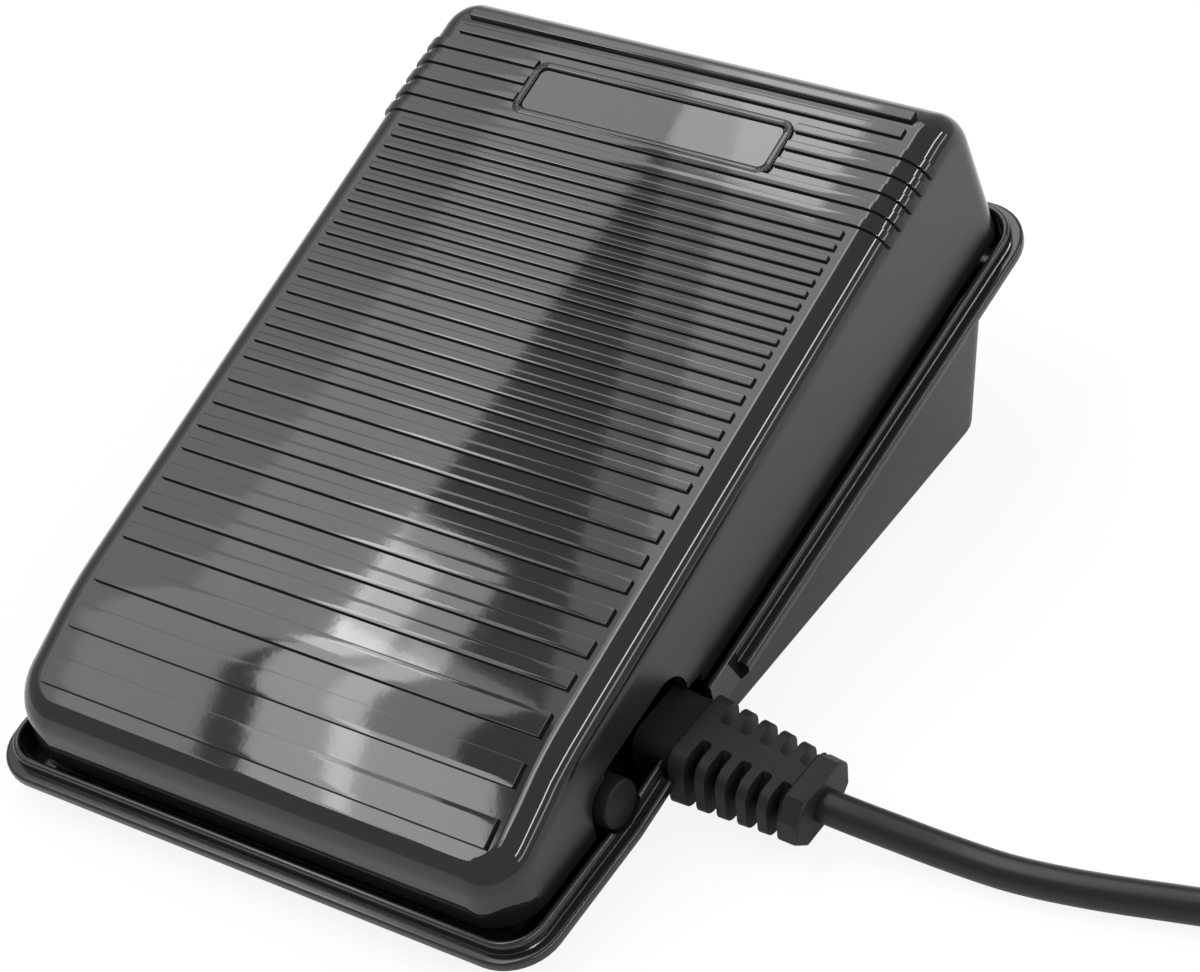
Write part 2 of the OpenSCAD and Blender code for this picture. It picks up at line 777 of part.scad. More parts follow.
// Space in the tray that the lower edge of the cover moves in
module cover_space() {
    rear_floor = cover_lift - cover_rear_p * tan(treadle_travel) - move_gap;
    front_floor = cover_lift - move_gap;
    rim_frame() intersection() {
        translate([0, (rear_p - lip_in) / 2 - rim_back_r, -big / 2]) linear_extrude(big) {
            rounded_rect(2 * (half_w - lip_in), rear_p - lip_in + 2 * rim_back_r, rim_back_r - lip_in);
        }
        along_x(big) polygon([[0, front_floor], [rear_p, rear_floor], [rear_p, big], [0, big]]);
    }
    front_frame() intersection() {
        translate([0, -(front_p - lip_in) / 2 + rim_r, -big / 2]) linear_extrude(big) {
            rounded_rect(2 * (half_w - lip_in), front_p - lip_in + 2 * rim_r, rim_r - lip_in);
        }
        along_x(big) polygon([[skin, front_floor], [-front_p, front_floor], [-front_p, big], [skin, big]]);
    }
}

module hinge_lug() {
    translate([lug_x - lug_t / 2, 0, 0]) along_x(lug_t) {
        translate([hinge_y, hinge_z]) circle(lug_r);
        translate([hinge_y - lug_r, floor_z - skin]) square([2 * lug_r, hinge_z - floor_z + skin]);
    }
}

module spring_seat() {
    translate([spring_x, spring_y, floor_z - skin]) {
        cylinder(h = spring_seat_h + skin, r = spring_r + cup_wall);
        cylinder(h = spring_seat_h + 2 * cup_depth / 3 + skin, r = spring_r - 2 * spring_wire_r - 2 * seat_gap);
    }
}

module board_posts(r, z, h) {
    for (x = [-1, 1], y = [-1, 1]) {
        translate([x * board_posts_x, board_mid_y + y * board_posts_y, z]) cylinder(h = h, r = r);
    }
}

module clamp_posts(r, z, h) {
    for (y = [-1, 1]) {
        translate([clamp_x, relief_y + y * clamp_gap / 2, z]) cylinder(h = h, r = r);
    }
}

module base_fittings() {
    both_sides() {
        hinge_lug();
        spring_seat();
    }
    board_posts(board_post_r, floor_z - skin, board_post_h + skin);
    clamp_posts(screw_head_r + 2 * seat_gap, floor_z - skin, relief_z - floor_z + skin);
    translate([clamp_x - clamp_w / 2, relief_y - cord_r, floor_z - skin]) {
        cube([clamp_w, cord_d, relief_z - cord_r - floor_z + skin]);
    }
}

module feet_at() {
    for (x = [-foot_x, foot_x], y = [foot_front_y, foot_back_y]) {
        translate([x, y, 0]) children();
    }
}

module base_housing() {
    color(black) difference() {
        union() {
            difference() {
                union() {
                    base_body();
                    rim();
                }
                cover_space();
                tub_block(tub_wall, floor_z, foot_h + tub_h);
            }
            base_fittings();
        }
        feet_at() cylinder(h = foot_h + foot_seat, r = foot_r + seat_gap);
        both_sides() {
            translate([ear_x - ear_t, hinge_y, hinge_z]) rotate([0, 90, 0]) cylinder(h = big, r = pin_r);
            translate([cover_hw, hinge_y, hinge_z]) rotate([0, 90, 0]) {
                cylinder(h = pin_proud + 2 * skin, r = pin_head_r + move_gap);
            }
        }
        board_posts(pilot_r, floor_z, board_post_h + skin);
        clamp_posts(pilot_r, floor_z, relief_z - floor_z + skin);
        translate([panel_x, flange_gap_front, 0]) {
            cube([big, flange_gap_back - flange_gap_front, big]);
        }
        translate([root_in_x - seat_gap, relief_y - slot_hw, slot_bottom]) cube([big, 2 * slot_hw, big]);
        front_frame() translate([-front_notch_w / 2, -front_p - skin, -big / 2]) {
            cube([front_notch_w, 2 * skin, big / 2 - flange_drop - flange_edge_r]);
        }
    }
}

module rubber_feet() {
    color(rubber_black) feet_at() rotate_extrude() {
        square([foot_r - foot_edge_r, foot_h + foot_seat]);
        translate([0, foot_edge_r]) square([foot_r, foot_h + foot_seat - foot_edge_r]);
        intersection() {
            translate([foot_r - foot_edge_r, foot_edge_r]) circle(foot_edge_r);
            square([foot_r, foot_r]);
        }
    }
}

module hinge_pins() {
    head_l = cover_hw + pin_proud - lug_x;
    shank_l = lug_t + ear_t + 2 * move_gap;
    color(black) both_sides() translate([lug_x, hinge_y, hinge_z]) rotate([0, 90, 0]) {
        cylinder(h = head_l, r = pin_head_r);
        translate([0, 0, -shank_l]) cylinder(h = shank_l + skin, r = pin_r);
    }
}

// Treadle cover

module cover_ball(p, q, r, shrink) {
    for (side = [-1, 1]) {
        translate([side * (cover_hw - r), p, q]) sphere(r - shrink, $fn = hull_fn);
    }
}

module cover_leg(p, r, shrink) {
    for (side = [-1, 1]) {
        translate([side * (cover_hw - r), p, skirt_q - shrink]) {
            cylinder(h = slab, r = r - shrink, $fn = corner_fn);
        }
    }
}

// Whole cover as a solid, or its inside when shrunk
module cover_solid(shrink) {
    back_p = cover_rear_p - rear_edge_r;
    back_q = deck_q(back_p) - rear_edge_r / cos(deck_rise);
    reach = rear_edge_r - edge_r;
    rim_frame() hull() {
        for (a = [-deck_rise, 30, 60, 90]) {
            cover_ball(back_p + reach * sin(a), back_q + reach * cos(a), edge_r, shrink);
        }
        for (part = [0, 0.5, 1]) {
            at = deck_point(bend_s - part * bend_l, -edge_r);
            cover_ball(at[0] * cos(deck_rise) - at[1] * sin(deck_rise),
                deck_h + at[0] * sin(deck_rise) + at[1] * cos(deck_rise), edge_r, shrink);
        }
        cover_ball(nose_p, nose_q, nose_r, shrink);
        cover_leg(cover_rear_p - edge_r, edge_r, shrink);
        cover_leg(skirt_p + cover_r, cover_r, shrink);
    }
}

// Everything below the lower edge of the cover
module below_cover() {
    along_x(big) polygon([
        [front_y(-big, cover_lift), -big],
        [front_y(-big, cover_lift), front_z(-big, cover_lift)],
        [rear_y(0, cover_lift), rear_z(0, cover_lift)],
        [rear_y(big, cover_lift), rear_z(big, cover_lift)],
        [rear_y(big, cover_lift), -big]]);
}

// Straight flat-topped ribs of the main field, one piece
module main_ribs() {
    last = len(main_pitches) - 1;
    top = [for (i = [0 : last])
        let (s = main_start - sum_to(main_pitches, i), pitch = main_pitches[i], back = s + rib_share * pitch,
            h = rib_top(pitch))
        each [deck_point(back, 0), deck_point(back, h), deck_point(s, h), deck_point(s, 0)]];
    bottom = [for (i = [last : -1 : 0])
        deck_point(main_start - sum_to(main_pitches, i), -skin)];
    deck_frame() along_x(2 * tread_hw) polygon(concat(top, bottom));
}

// One straight rib at the high end
module straight_rib(s) {
    deck_frame() translate([-tread_hw, s, -skin]) cube([2 * tread_hw, rib_share * rear_pitch, rib_h + skin]);
}

// Outline of the rounded top of the cover, seen along the deck, origin low in the middle
module top_outline(shrink) {
    r = edge_r - shrink;
    translate([-(cover_hw - edge_r), cover_hw - edge_r]) square([2 * (cover_hw - edge_r), r]);
    for (side = [-1, 1]) {
        translate([side * (cover_hw - edge_r), cover_hw - edge_r]) circle(r, $fn = corner_fn);
    }
}

// One rib that wraps over the rounded side edges
module wrapped_rib(s) {
    rib_w = rib_share * rear_pitch;
    deck_frame() translate([0, s + rib_w, -cover_hw]) rotate([90, 0, 0]) {
        linear_extrude(rib_w) difference() {
            top_outline(-rib_h);
            top_outline(skin);
            translate([-big / 2, -skin]) square([big, cover_hw - wrap_drop + skin]);
        }
    }
}

module plate_block(w, l, z, h) {
    deck_frame() translate([-w / 2, plate_s - l / 2, z]) cube([w, l, h]);
}

module cover_ears() {
    both_sides() translate([ear_x - ear_t / 2, 0, 0]) along_x(ear_t) {
        translate([hinge_y, hinge_z]) circle(lug_r);
        translate([hinge_y - lug_r, hinge_z]) square([2 * lug_r, deck_h]);
    }
}

module spring_cup(r, z) {
    both_sides() translate([spring_x, spring_y, z]) cylinder(h = big / 2, r = r);
}

// Pieces moulded on the inside of the cover
module cover_fittings() {
    intersection() {
        union() {
            cover_ears();
            spring_cup(spring_r + cup_wall, spring_top - cup_depth);
            translate([0, control_y, pusher_z]) cylinder(h = big / 2, r = pusher_r);
        }
        cover_solid(fitting_in);
    }
    intersection() {
        difference() {
            cover_solid(fitting_in);
            translate([0, 0, -stiffener_h]) cover_solid(cover_wall);
        }
        deck_frame() both_sides() translate([stiffener_x, rear_s / 2, 0]) {
            cube([stiffener_t, stiffener_l, 2 * edge_r], center = true);
        }
    }
}

// Hinge slot and arch over the cord in the right wall
module wall_openings() {
    clear = pin_head_r + 1.5 * move_gap;
    along_x(big) {
        translate([hinge_y, hinge_z]) circle(clear);
        translate([hinge_y - clear, 0]) square([2 * clear, hinge_z]);
    }
    translate([big / 2, 0, 0]) along_x(big) {
        polygon([[hinge_y, 0], [hinge_y, hinge_z + arch_rise], [arch_back - arch_r, arch_top],
            [arch_back, arch_top - arch_r], [arch_back, 0]]);
        translate([arch_back - arch_r, arch_top - arch_r]) circle(arch_r);
        translate([hinge_y, 0]) square([step_back - hinge_y, step_top]);
    }
}

module treadle_cover() {
    color(black) difference() {
        union() {
            difference() {
                union() {
                    cover_solid(0);
                    main_ribs();
                    for (i = [0 : rear_count - 1]) {
                        if (i < plain_ribs) {
                            straight_rib(rear_s - i * rear_pitch);
                        } else {
                            wrapped_rib(rear_s - i * rear_pitch);
                        }
                    }
                }
                plate_block(plate_w + 2 * (frame_w + seat_gap), plate_l + 2 * frame_w, 0, rib_h * 2);
                cover_solid(cover_wall);
                below_cover();
                intersection() {
                    wall_openings();
                    difference() {
                        translate([-big / 2, -big / 2, -big / 2]) cube(big);
                        translate([-lug_x, -big / 2, -big / 2]) cube([2 * lug_x, big, big]);
                    }
                }
            }
            plate_block(plate_w + 2 * frame_w, plate_l + 2 * frame_w, -plate_depth, plate_depth + frame_h);
            cover_fittings();
        }
        plate_block(plate_w, plate_l, -plate_depth, 2 * plate_depth + frame_h);
        both_sides() translate([ear_x - 2 * ear_t, hinge_y, hinge_z]) rotate([0, 90, 0]) {
            cylinder(h = 3 * ear_t, r = pin_r + run_fit);
        }
        both_sides() translate([spring_x, spring_y, spring_top - cup_depth - skin]) {
            cylinder(h = cup_depth + skin, r = spring_r + 2 * seat_gap);
        }
    }
}

module bare_plate() {
    color(dark) {
        plate_block(plate_w - 2 * seat_gap, plate_l - 2 * seat_gap, -plate_depth, plate_t);
    }
}

module pusher_pad() {
    color(rubber_black) translate([0, control_y, pad_z]) cylinder(h = pad_t, r = pusher_r - seat_gap);
}

// Springs

module return_springs() {
    color(steel) both_sides() translate([spring_x, spring_y, spring_z]) {
        coil_spring(spring_l, spring_r, spring_wire_r, spring_turns, spring_steps);
    }
}

module slider_spring() {
    color(steel) translate([0, control_y, control_floor]) {
        coil_spring(carriage_top - carriage_t - control_floor, slider_spring_r, slider_wire_r, slider_turns,
            slider_steps);
    }
}

// Strain relief

module relief_face(grow) {
    rounded_rect(relief_h + 2 * grow, relief_w + 2 * grow, relief_r);
}

// Flat profile carried out along X
module outward(l) {
    rotate([0, 90, 0]) linear_extrude(l) children();
}

module relief_sleeve() {
    start = relief_slot;
    outward(relief_l - collar_l + skin) square([relief_h, relief_spine], center = true);
    rotate([0, 90, 0]) cylinder(h = relief_l, r = relief_core_r);
    for (i = [0 : relief_ribs - 1]) {
        translate([start + i * relief_pitch, 0, 0]) outward(relief_pitch - relief_slot) relief_face(0);
    }
    translate([relief_l - collar_l, 0, 0]) outward(collar_l) relief_face(collar_grow);
}

module strain_relief() {
    color(rubber_black) difference() {
        translate([0, relief_y, relief_z]) {
            translate([root_in_x, 0, 0]) outward(root_out - root_in_x) relief_face(0);
            translate([root_in_x - root_flange_t, 0, root_flange_grow]) outward(root_flange_t + seat_gap) {
                relief_face(root_flange_grow);
            }
            translate([root_out - skin, 0, 0]) rotate([0, relief_droop, 0]) relief_sleeve();
        }
        tube(smooth(lead_route, path_steps), cord_r + seat_gap, bore_sides);
        translate([root_in_x - root_flange_t - skin, relief_y - relief_w, 0]) {
            cube([root_flange_t + skin + seat_gap, 2 * relief_w, floor_z + seat_gap]);
        }
    }
}

// Cord clamp

module cord_clamp() {
    color(black) difference() {
        translate([clamp_x - clamp_w / 2, relief_y - clamp_gap / 2 - screw_head_r - skin, relief_z]) {
            cube([clamp_w, clamp_gap + 2 * screw_head_r + 2 * skin, clamp_top - relief_z]);
        }
        translate([clamp_x - clamp_w, relief_y, relief_z]) rotate([0, 90, 0]) {
            cylinder(h = 2 * clamp_w, r = cord_r + seat_gap / 2);
        }
        clamp_posts(clear_r, relief_z - skin, clamp_top);
    }
}

module clamp_screws() {
    color(steel) for (y = [-1, 1]) {
        translate([clamp_x, relief_y + y * clamp_gap / 2, 0]) screw(clamp_top, clamp_top - floor_z - skin);
    }
}

// Circuit board and components

module circuit_board() {
    color(laminate) difference() {
        translate([-board_w / 2, board_front_y, board_z]) {
            cube([board_w, board_back_y - board_front_y, board_t]);
        }
        board_posts(clear_r, board_z - skin, board_t + 2 * skin);
    }
}

module board_screws() {
    color(steel) for (x = [-1, 1], y = [-1, 1]) {
        translate([x * board_posts_x, board_mid_y + y * board_posts_y, 0]) screw(top_z, top_z - floor_z - skin);
    }
}

module control_housing() {
    inner_w = control_w - 2 * control_wall;
    color(dark) translate([0, control_y, top_z]) {
        difference() {
            translate([-control_w / 2, -control_l / 2, 0]) cube([control_w, control_l, control_h]);
            translate([-inner_w / 2, -control_l, control_wall]) {
                cube([inner_w, 1.5 * control_l - control_wall, control_h - 2 * control_wall]);
            }
            translate([0, 0, control_h / 2]) cylinder(h = control_h, r = stem_r + run_fit);
        }
        cylinder(h = 2 * control_wall, r = slider_spring_r - 2 * slider_wire_r - 2 * seat_gap);
    }
}

module resistance_track() {
    color(rubber_black) translate([-track_w / 2, control_back - track_t, control_floor + skin]) {
        cube([track_w, track_t, control_h - 2 * control_wall - 2 * skin]);
    }
}

module slider() {
    color(white) translate([0, control_y, 0]) {
        translate([-carriage_w / 2, -carriage_l / 2, carriage_top - carriage_t]) {
            cube([carriage_w, carriage_l, carriage_t]);
        }
        translate([0, 0, carriage_top - skin]) {
            cylinder(h = stem_top - stem_r - carriage_top + skin, r = stem_r);
        }
        translate([0, 0, stem_top - stem_r]) sphere(stem_r);
    }
}

module wiper() {
    back = control_y + carriage_l / 2;
    reach = control_back - track_t - move_gap / 2 - back - wiper_t;
    color(brass) {
        translate([-wiper_w / 2, back, carriage_top - carriage_t - wiper_drop]) {
            cube([wiper_w, wiper_t, carriage_t + wiper_drop / 2]);
        }
        for (x = [-1, 1]) {
            translate([x * wiper_w / 4, back + wiper_t / 2, carriage_top - carriage_t - wiper_drop / 2]) {
                rotate([-90, 0, 0]) cylinder(h = reach + wiper_t / 2, r = 2 * wiper_t);
            }
        }
    }
}

module heat_sink() {
    pitch = (sink_w - sink_t) / (fin_count - 1);
    color(aluminium) difference() {
        translate([sink_x, sink_y, top_z]) linear_extrude(sink_h) {
            translate([-sink_w / 2, 0]) square([sink_w, sink_t]);
            for (i = [0 : fin_count - 1]) {
                translate([-sink_w / 2 + i * pitch, 0]) square([sink_t, sink_t + fin_l]);
            }
        }
        translate([sink_x, sink_y - skin, top_z + leg_l + triac_h + tab_h / 2]) rotate([-90, 0, 0]) {
            cylinder(h = sink_t + skin, r = pilot_r);
        }
    }
}

module triac() {
    color(rubber_black) difference() {
        union() {
            translate([sink_x - triac_w / 2, sink_y - triac_t, top_z + leg_l]) {
                cube([triac_w, triac_t, triac_h]);
            }
            translate([sink_x - triac_w / 2, sink_y - tab_t, top_z + leg_l + triac_h - skin]) {
                cube([triac_w, tab_t, tab_h + skin]);
            }
            for (i = [-1 : 1]) {
                translate([sink_x + i * triac_w / 4 - skin, sink_y - triac_t / 2 - skin, top_z]) {
                    cube([2 * skin, 2 * skin, leg_l + skin]);
                }
            }
        }
        translate([sink_x, sink_y - 2 * tab_t, top_z + leg_l + triac_h + tab_h / 2]) rotate([-90, 0, 0]) {
            cylinder(h = 3 * tab_t, r = clear_r);
        }
    }
}

module triac_screw() {
    color(steel) translate([sink_x, sink_y - tab_t, top_z + leg_l + triac_h + tab_h / 2]) rotate([90, 0, 0]) {
        screw(0, tab_t + sink_t);
    }
}

module suppressor_capacitor() {
    color(yellow) translate([right_x - capacitor_w / 2, capacitor_y, top_z]) {
        cube([capacitor_w, capacitor_l, capacitor_h]);
    }
}

module suppressor_choke() {
    color(copper) translate([-right_x, 0, top_z + choke_section_r]) rotate_extrude() {
        translate([choke_r, 0]) circle(choke_section_r);
    }
}

module timing_capacitor() {
    color(navy) translate([0, timing_y, top_z]) cylinder(h = timing_h, r = timing_r);
}

module trimmer() {
    color(blue) translate([right_x, control_y, top_z]) {
        translate([-trimmer_w / 2, -trimmer_w / 2, 0]) cube([trimmer_w, trimmer_w, trimmer_h]);
        difference() {
            cylinder(h = trimmer_h + 2 * skin, r = trimmer_w / 3);
            translate([-trimmer_w / 2, -skin / 2, trimmer_h + skin]) cube([trimmer_w, skin, 2 * skin]);
        }
    }
}

module resistors() {
    color(tan_body) for (i = [0 : resistor_count - 1]) {
        translate([-resistor_l / 2, resistor_pitch * (i + 0.5), top_z + resistor_r]) rotate([0, 90, 0]) {
            cylinder(h = resistor_l, r = resistor_r);
        }
    }
}

module terminal_at(side) {
    translate([right_x + side * terminal_gap / 2, 0, 0]) children();
}

module terminal_block() {
    color(green) difference() {
        translate([right_x - terminal_w / 2, terminal_y - terminal_l / 2, top_z]) {
            cube([terminal_w, terminal_l, terminal_h]);
        }
        for (side = [-1, 1]) {
            terminal_at(side) translate([0, terminal_y + skin, lead_z]) rotate([90, 0, 0]) {
                cylinder(h = terminal_l, r = lead_r + seat_gap);
            }
            terminal_at(side) translate([0, terminal_y, bite_z]) {
                cylinder(h = terminal_h, r = 1.5 * screw_r + seat_gap);
            }
        }
    }
}

module terminal_screws() {
    screw_l = top_z + terminal_h - skin - bite_z;
    color(steel) for (side = [-1, 1]) {
        terminal_at(side) translate([0, terminal_y, bite_z]) {
            difference() {
                cylinder(h = screw_l, r = 1.5 * screw_r);
                translate([-big / 2, -skin / 2, screw_l - skin]) cube([big, skin, 2 * skin]);
            }
        }
    }
}

module core_leads() {
    color(blue) for (side = [-1, 1]) {
        end_x = right_x + side * terminal_gap / 2;
        tube(smooth([
            [cord_cut_x, relief_y + side * lead_r * 1.1, relief_z],
            [cord_cut_x - 3, relief_y + side * lead_r * 1.6 + 1, relief_z + 1],
            [end_x, (relief_y + board_front_y) / 2, lead_z - 1],
            [end_x, board_front_y - 1, lead_z],
            [end_x, terminal_y, lead_z]], path_steps), lead_r, lead_sides);
    }
}

// Cord, coil and plug

module cord_lead() {
    color(rubber_black) tube(smooth(lead_route, path_steps), cord_r, cord_sides);
}

module cord_coil() {
    color(rubber_black) translate([coil_x, coil_y, coil_layers * cord_d / 2]) rotate_extrude() {
        translate([coil_r, 0]) rounded_rect(coil_wide * cord_d, coil_layers * cord_d, cord_r);
    }
}

module coil_tie() {
    inner_w = coil_wide * cord_d + 2 * tie_gap;
    tall = coil_layers * cord_d;
    color(rubber_black) translate([coil_x, coil_y + coil_r, 0]) difference() {
        rotate([90, 0, 90]) linear_extrude(tie_w, center = true) difference() {
            translate([0, (tall + tie_t + seat_gap) / 2]) {
                rounded_rect(inner_w + 2 * tie_t, tall + tie_t + seat_gap, cord_r);
            }
            translate([0, tall / 2]) rounded_rect(inner_w, tall + 2 * seat_gap, cord_r);
            translate([-big / 2, -big]) square([big, big]);
        }
        translate([-big / 2, -skin, -big]) cube([big, 2 * skin, big]);
    }
}

module cord_tail() {
    color(rubber_black) tube(smooth(tail_route, path_steps), cord_r, cord_sides);
}

module plug_body() {
    color(rubber_black) translate([plug_x, plug_y, plug_axis_z]) difference() {
        union() {
            outward(plug_l) rounded_rect(plug_h, plug_w, plug_r);
            translate([-sleeve_l, 0, 0]) outward(sleeve_l + skin) circle(sleeve_r);
        }
        translate([-sleeve_l - skin, 0, 0]) outward(sleeve_l / 2 + skin) circle(cord_r + seat_gap);
        for (side = [-1, 1]) {
            translate([plug_l / 2, side * plug_pin_gap / 2, 0]) outward(plug_l) circle(plug_pin_r);
        }
    }
}

module plug_pins() {
    color(brass) for (side = [-1, 1]) {
        translate([plug_x + plug_l / 2, plug_y + side * plug_pin_gap / 2, plug_axis_z]) {
            outward(plug_l / 2 + plug_pin_l - plug_pin_r) circle(plug_pin_r);
            translate([plug_l / 2 + plug_pin_l - plug_pin_r, 0, 0]) sphere(plug_pin_r);
        }
    }
}

base_housing();
rubber_feet();
hinge_pins();
strain_relief();
cord_clamp();
clamp_screws();
circuit_board();
board_screws();
control_housing();
resistance_track();
heat_sink();
triac();
triac_screw();
suppressor_capacitor();
suppressor_choke();
timing_capacitor();
trimmer();
resistors();
terminal_block();
terminal_screws();
core_leads();
treadle_cover();
bare_plate();
pusher_pad();
return_springs();
slider();
wiper();
slider_spring();
cord_lead();
cord_coil();
coil_tie();
cord_tail();
plug_body();
plug_pins();
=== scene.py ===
# %% [markdown]
# # A sewing machine foot pedal
# One foot sets the speed of a sewing machine with this pedal: a ribbed black treadle that
# rocks on a hinge near its low end, in a wedge-shaped base, with a cord that leaves through
# a ribbed strain relief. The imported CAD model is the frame. It gives every piece its place
# and its motion, and this lesson gives the pieces their looks.

# %% Load the frame
import math

import bmesh
import bpy
from mathutils import Matrix, Vector


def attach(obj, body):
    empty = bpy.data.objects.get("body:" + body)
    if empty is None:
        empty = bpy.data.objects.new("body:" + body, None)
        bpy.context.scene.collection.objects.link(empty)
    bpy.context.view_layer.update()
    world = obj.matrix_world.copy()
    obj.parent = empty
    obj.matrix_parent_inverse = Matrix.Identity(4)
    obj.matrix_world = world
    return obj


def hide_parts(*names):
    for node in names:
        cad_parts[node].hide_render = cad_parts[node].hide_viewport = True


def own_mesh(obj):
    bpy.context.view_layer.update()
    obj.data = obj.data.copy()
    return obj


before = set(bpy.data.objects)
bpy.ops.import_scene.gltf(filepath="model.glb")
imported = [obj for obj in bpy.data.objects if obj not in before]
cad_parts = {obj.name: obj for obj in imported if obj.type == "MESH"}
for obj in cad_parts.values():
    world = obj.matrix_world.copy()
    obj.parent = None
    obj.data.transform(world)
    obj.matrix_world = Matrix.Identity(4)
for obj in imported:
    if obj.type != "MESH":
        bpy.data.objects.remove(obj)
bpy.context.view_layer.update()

MM = 0.001
print("frame loaded:", len(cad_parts), "nodes")

# %% [markdown]
# ## Camera
# The photo was taken with a long lens from above the cord's corner, and with the camera
# tipped to one side. A camera can be set with a full matrix, but a place, a point to look
# at and a roll are easier to read and to change. `to_track_quat` gives a level camera and
# the roll is added about its own axis.

# %% Camera
camera = bpy.data.objects.new("camera", bpy.data.cameras.new("camera"))
bpy.context.scene.collection.objects.link(camera)
bpy.context.scene.camera = camera
camera_at = Vector((339.17, -339.75, 411.32)) * MM
look_at = Vector((21.47, -4.00, 30.03)) * MM
camera_roll = math.radians(-13.74)
level = (look_at - camera_at).to_track_quat("-Z", "Y").to_matrix().to_4x4()
camera.matrix_world = Matrix.Translation(camera_at) @ level @ Matrix.Rotation(camera_roll, 4, "Z")
camera.data.sensor_width = 36
camera.data.lens = 119.07
camera.data.clip_start = 0.01
print("camera", [round(x, 3) for x in camera_at], "lens", camera.data.lens)

# %% [markdown]
# ## Cord
# The cord leaves the relief, drops to the floor, runs out of the picture and is wound in a
# tied coil before it ends in its plug. It could be simulated, but a cord that rests on a
# floor is only a smooth line, so it is one curve with a round bevel. A Catmull-Rom spline
# goes through the same points as the CAD route, and the coil is a spiral of turns that lie
# one diameter apart in two layers. Each turn keeps its radius and steps to the next one
# over a short arc, so that no turn cuts into its neighbour. The thickness could be the bevel
# depth, but Blender adds each point's own radius to a curve's box, and that is a metre unless
# it is set. So the depth stays 1 and the points carry the radius of the cord.

# %% Cord route
cord_r = 2.7
coil_mid = Vector((176, 24, 0))
inner_turn = 24.6
steps_in, step_over, steps_out = (224, 584), 884, (1184, 1544)
wall_x = 50.55
cord_exit = Vector((wall_x, -28.8, 9.08))


def smooth_path(route, steps):
    """Points of a Catmull-Rom spline through the route."""
    ends = [route[0], *route, route[-1]]
    points = []
    for a, b, c, d in zip(ends, ends[1:], ends[2:], ends[3:]):
        for k in range(steps):
            t = k / steps
            points.append(0.5 * (2 * b + (c - a) * t + (2 * a - 5 * b + 4 * c - d) * t ** 2
                                 + (3 * b - a - 3 * c + d) * t ** 3))
    return points + [route[-1]]


def step_up(angle, start, span=60):
    """0 before start, 1 after start + span, smooth between."""
    t = min(max((angle - start) / span, 0), 1)
    return t * t * (3 - 2 * t)


def coil_point(angle):
    """A point of the coil; the angle grows from turn to turn."""
    turns_in = sum(step_up(angle, start) for start in steps_in)
    turns_out = sum(step_up(angle, start) for start in steps_out)
    radius = inner_turn + 2 * cord_r * (len(steps_in) - turns_in + turns_out)
    height = cord_r + 2 * cord_r * step_up(angle, step_over)
    a = math.radians(angle)
    return coil_mid + Vector((radius * math.cos(a), radius * math.sin(a), height))


coil_start, coil_end = -76, 1752
lead_route = [Vector(p) for p in (
    (27, -28.8, 9.1), (38, -28.8, 9.1), (49.85, -28.8, 9.1), (53.85, -28.8, 8.83),
    (72.11, -28.8, 6.36), (85, -27.8, 4.3), (95, -27, 3), (104, -26.4, 2.7), (115, -24.6, 2.7),
    (129, -21.3, 2.7), (145, -17.5, 2.7), (165, -12.8, 2.7))] + [coil_point(coil_start)]
tail_start = coil_point(coil_end)
tail_route = [tail_start] + [Vector(p) for p in (
    (209.69, 6.69, 7.7), (219.69, 16.6, 5.2), (230, 25, 4.2), (241, 31, 5.6), (250, 32, 6.5),
    (253, 32, 6.5), (256, 32, 6.5))]
lead = smooth_path(lead_route, 6)
turns = [coil_point(a) for a in range(coil_start + 6, coil_end, 6)]
tail = smooth_path(tail_route, 6)
outside = [cord_exit] + [p for p in lead if p.x > wall_x + 1] + turns + tail
inside = [p for p in lead if p.x < wall_x - 1] + [cord_exit]
cord_length = sum((b - a).length for a, b in zip(outside, outside[1:])) * MM
print("cord length", round(cord_length, 3), "m in", len(outside), "points")


# %% Cord curve
def cord_curve(name, points, radius):
    """A round curve of one open spline through the points, all in millimetres."""
    curve = bpy.data.curves.new(name, "CURVE")
    curve.dimensions = "3D"
    curve.bevel_depth = 1
    curve.bevel_resolution = 6
    curve.use_fill_caps = True
    spline = curve.splines.new("POLY")
    spline.points.add(len(points) - 1)
    for place, point in zip(spline.points, points):
        place.co = (*(point * MM), 1)
        place.radius = radius * MM
    spline.use_smooth = True
    piece = bpy.data.objects.new(name, curve)
    bpy.context.scene.collection.objects.link(piece)
    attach(piece, "base")
    return piece


cord = cord_curve("power_cord", outside, cord_r)
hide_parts("cord_lead", "cord_coil", "cord_tail")
cord_stub = cord_curve("cord_stub", inside, cord_r)
print("cord made")

# %% [markdown]
# ## Building helpers
# Every new piece is drawn in millimetres with bmesh operators and then moved into the frame
# and scaled to metres by one matrix. The cover and the rim lie in tilted planes, so it is
# simpler to draw them flat, with p along the pedal and q away from the plane, and to tilt
# the finished mesh.

# %% Building helpers
RIM_TILT, FRONT_TILT = math.radians(10.8), math.radians(4.3)
DECK_RISE = math.radians(4.94)
HINGE_Y, HINGE_Z, RIM_Z, DECK_H = -46, 12.8, 8.8, 19.4
SCALE = Matrix.Scale(MM, 4)
RIM = SCALE @ Matrix.Translation((0, HINGE_Y, RIM_Z)) @ Matrix.Rotation(RIM_TILT, 4, "X")
DECK = RIM @ Matrix.Translation((0, 0, DECK_H)) @ Matrix.Rotation(DECK_RISE, 4, "X")


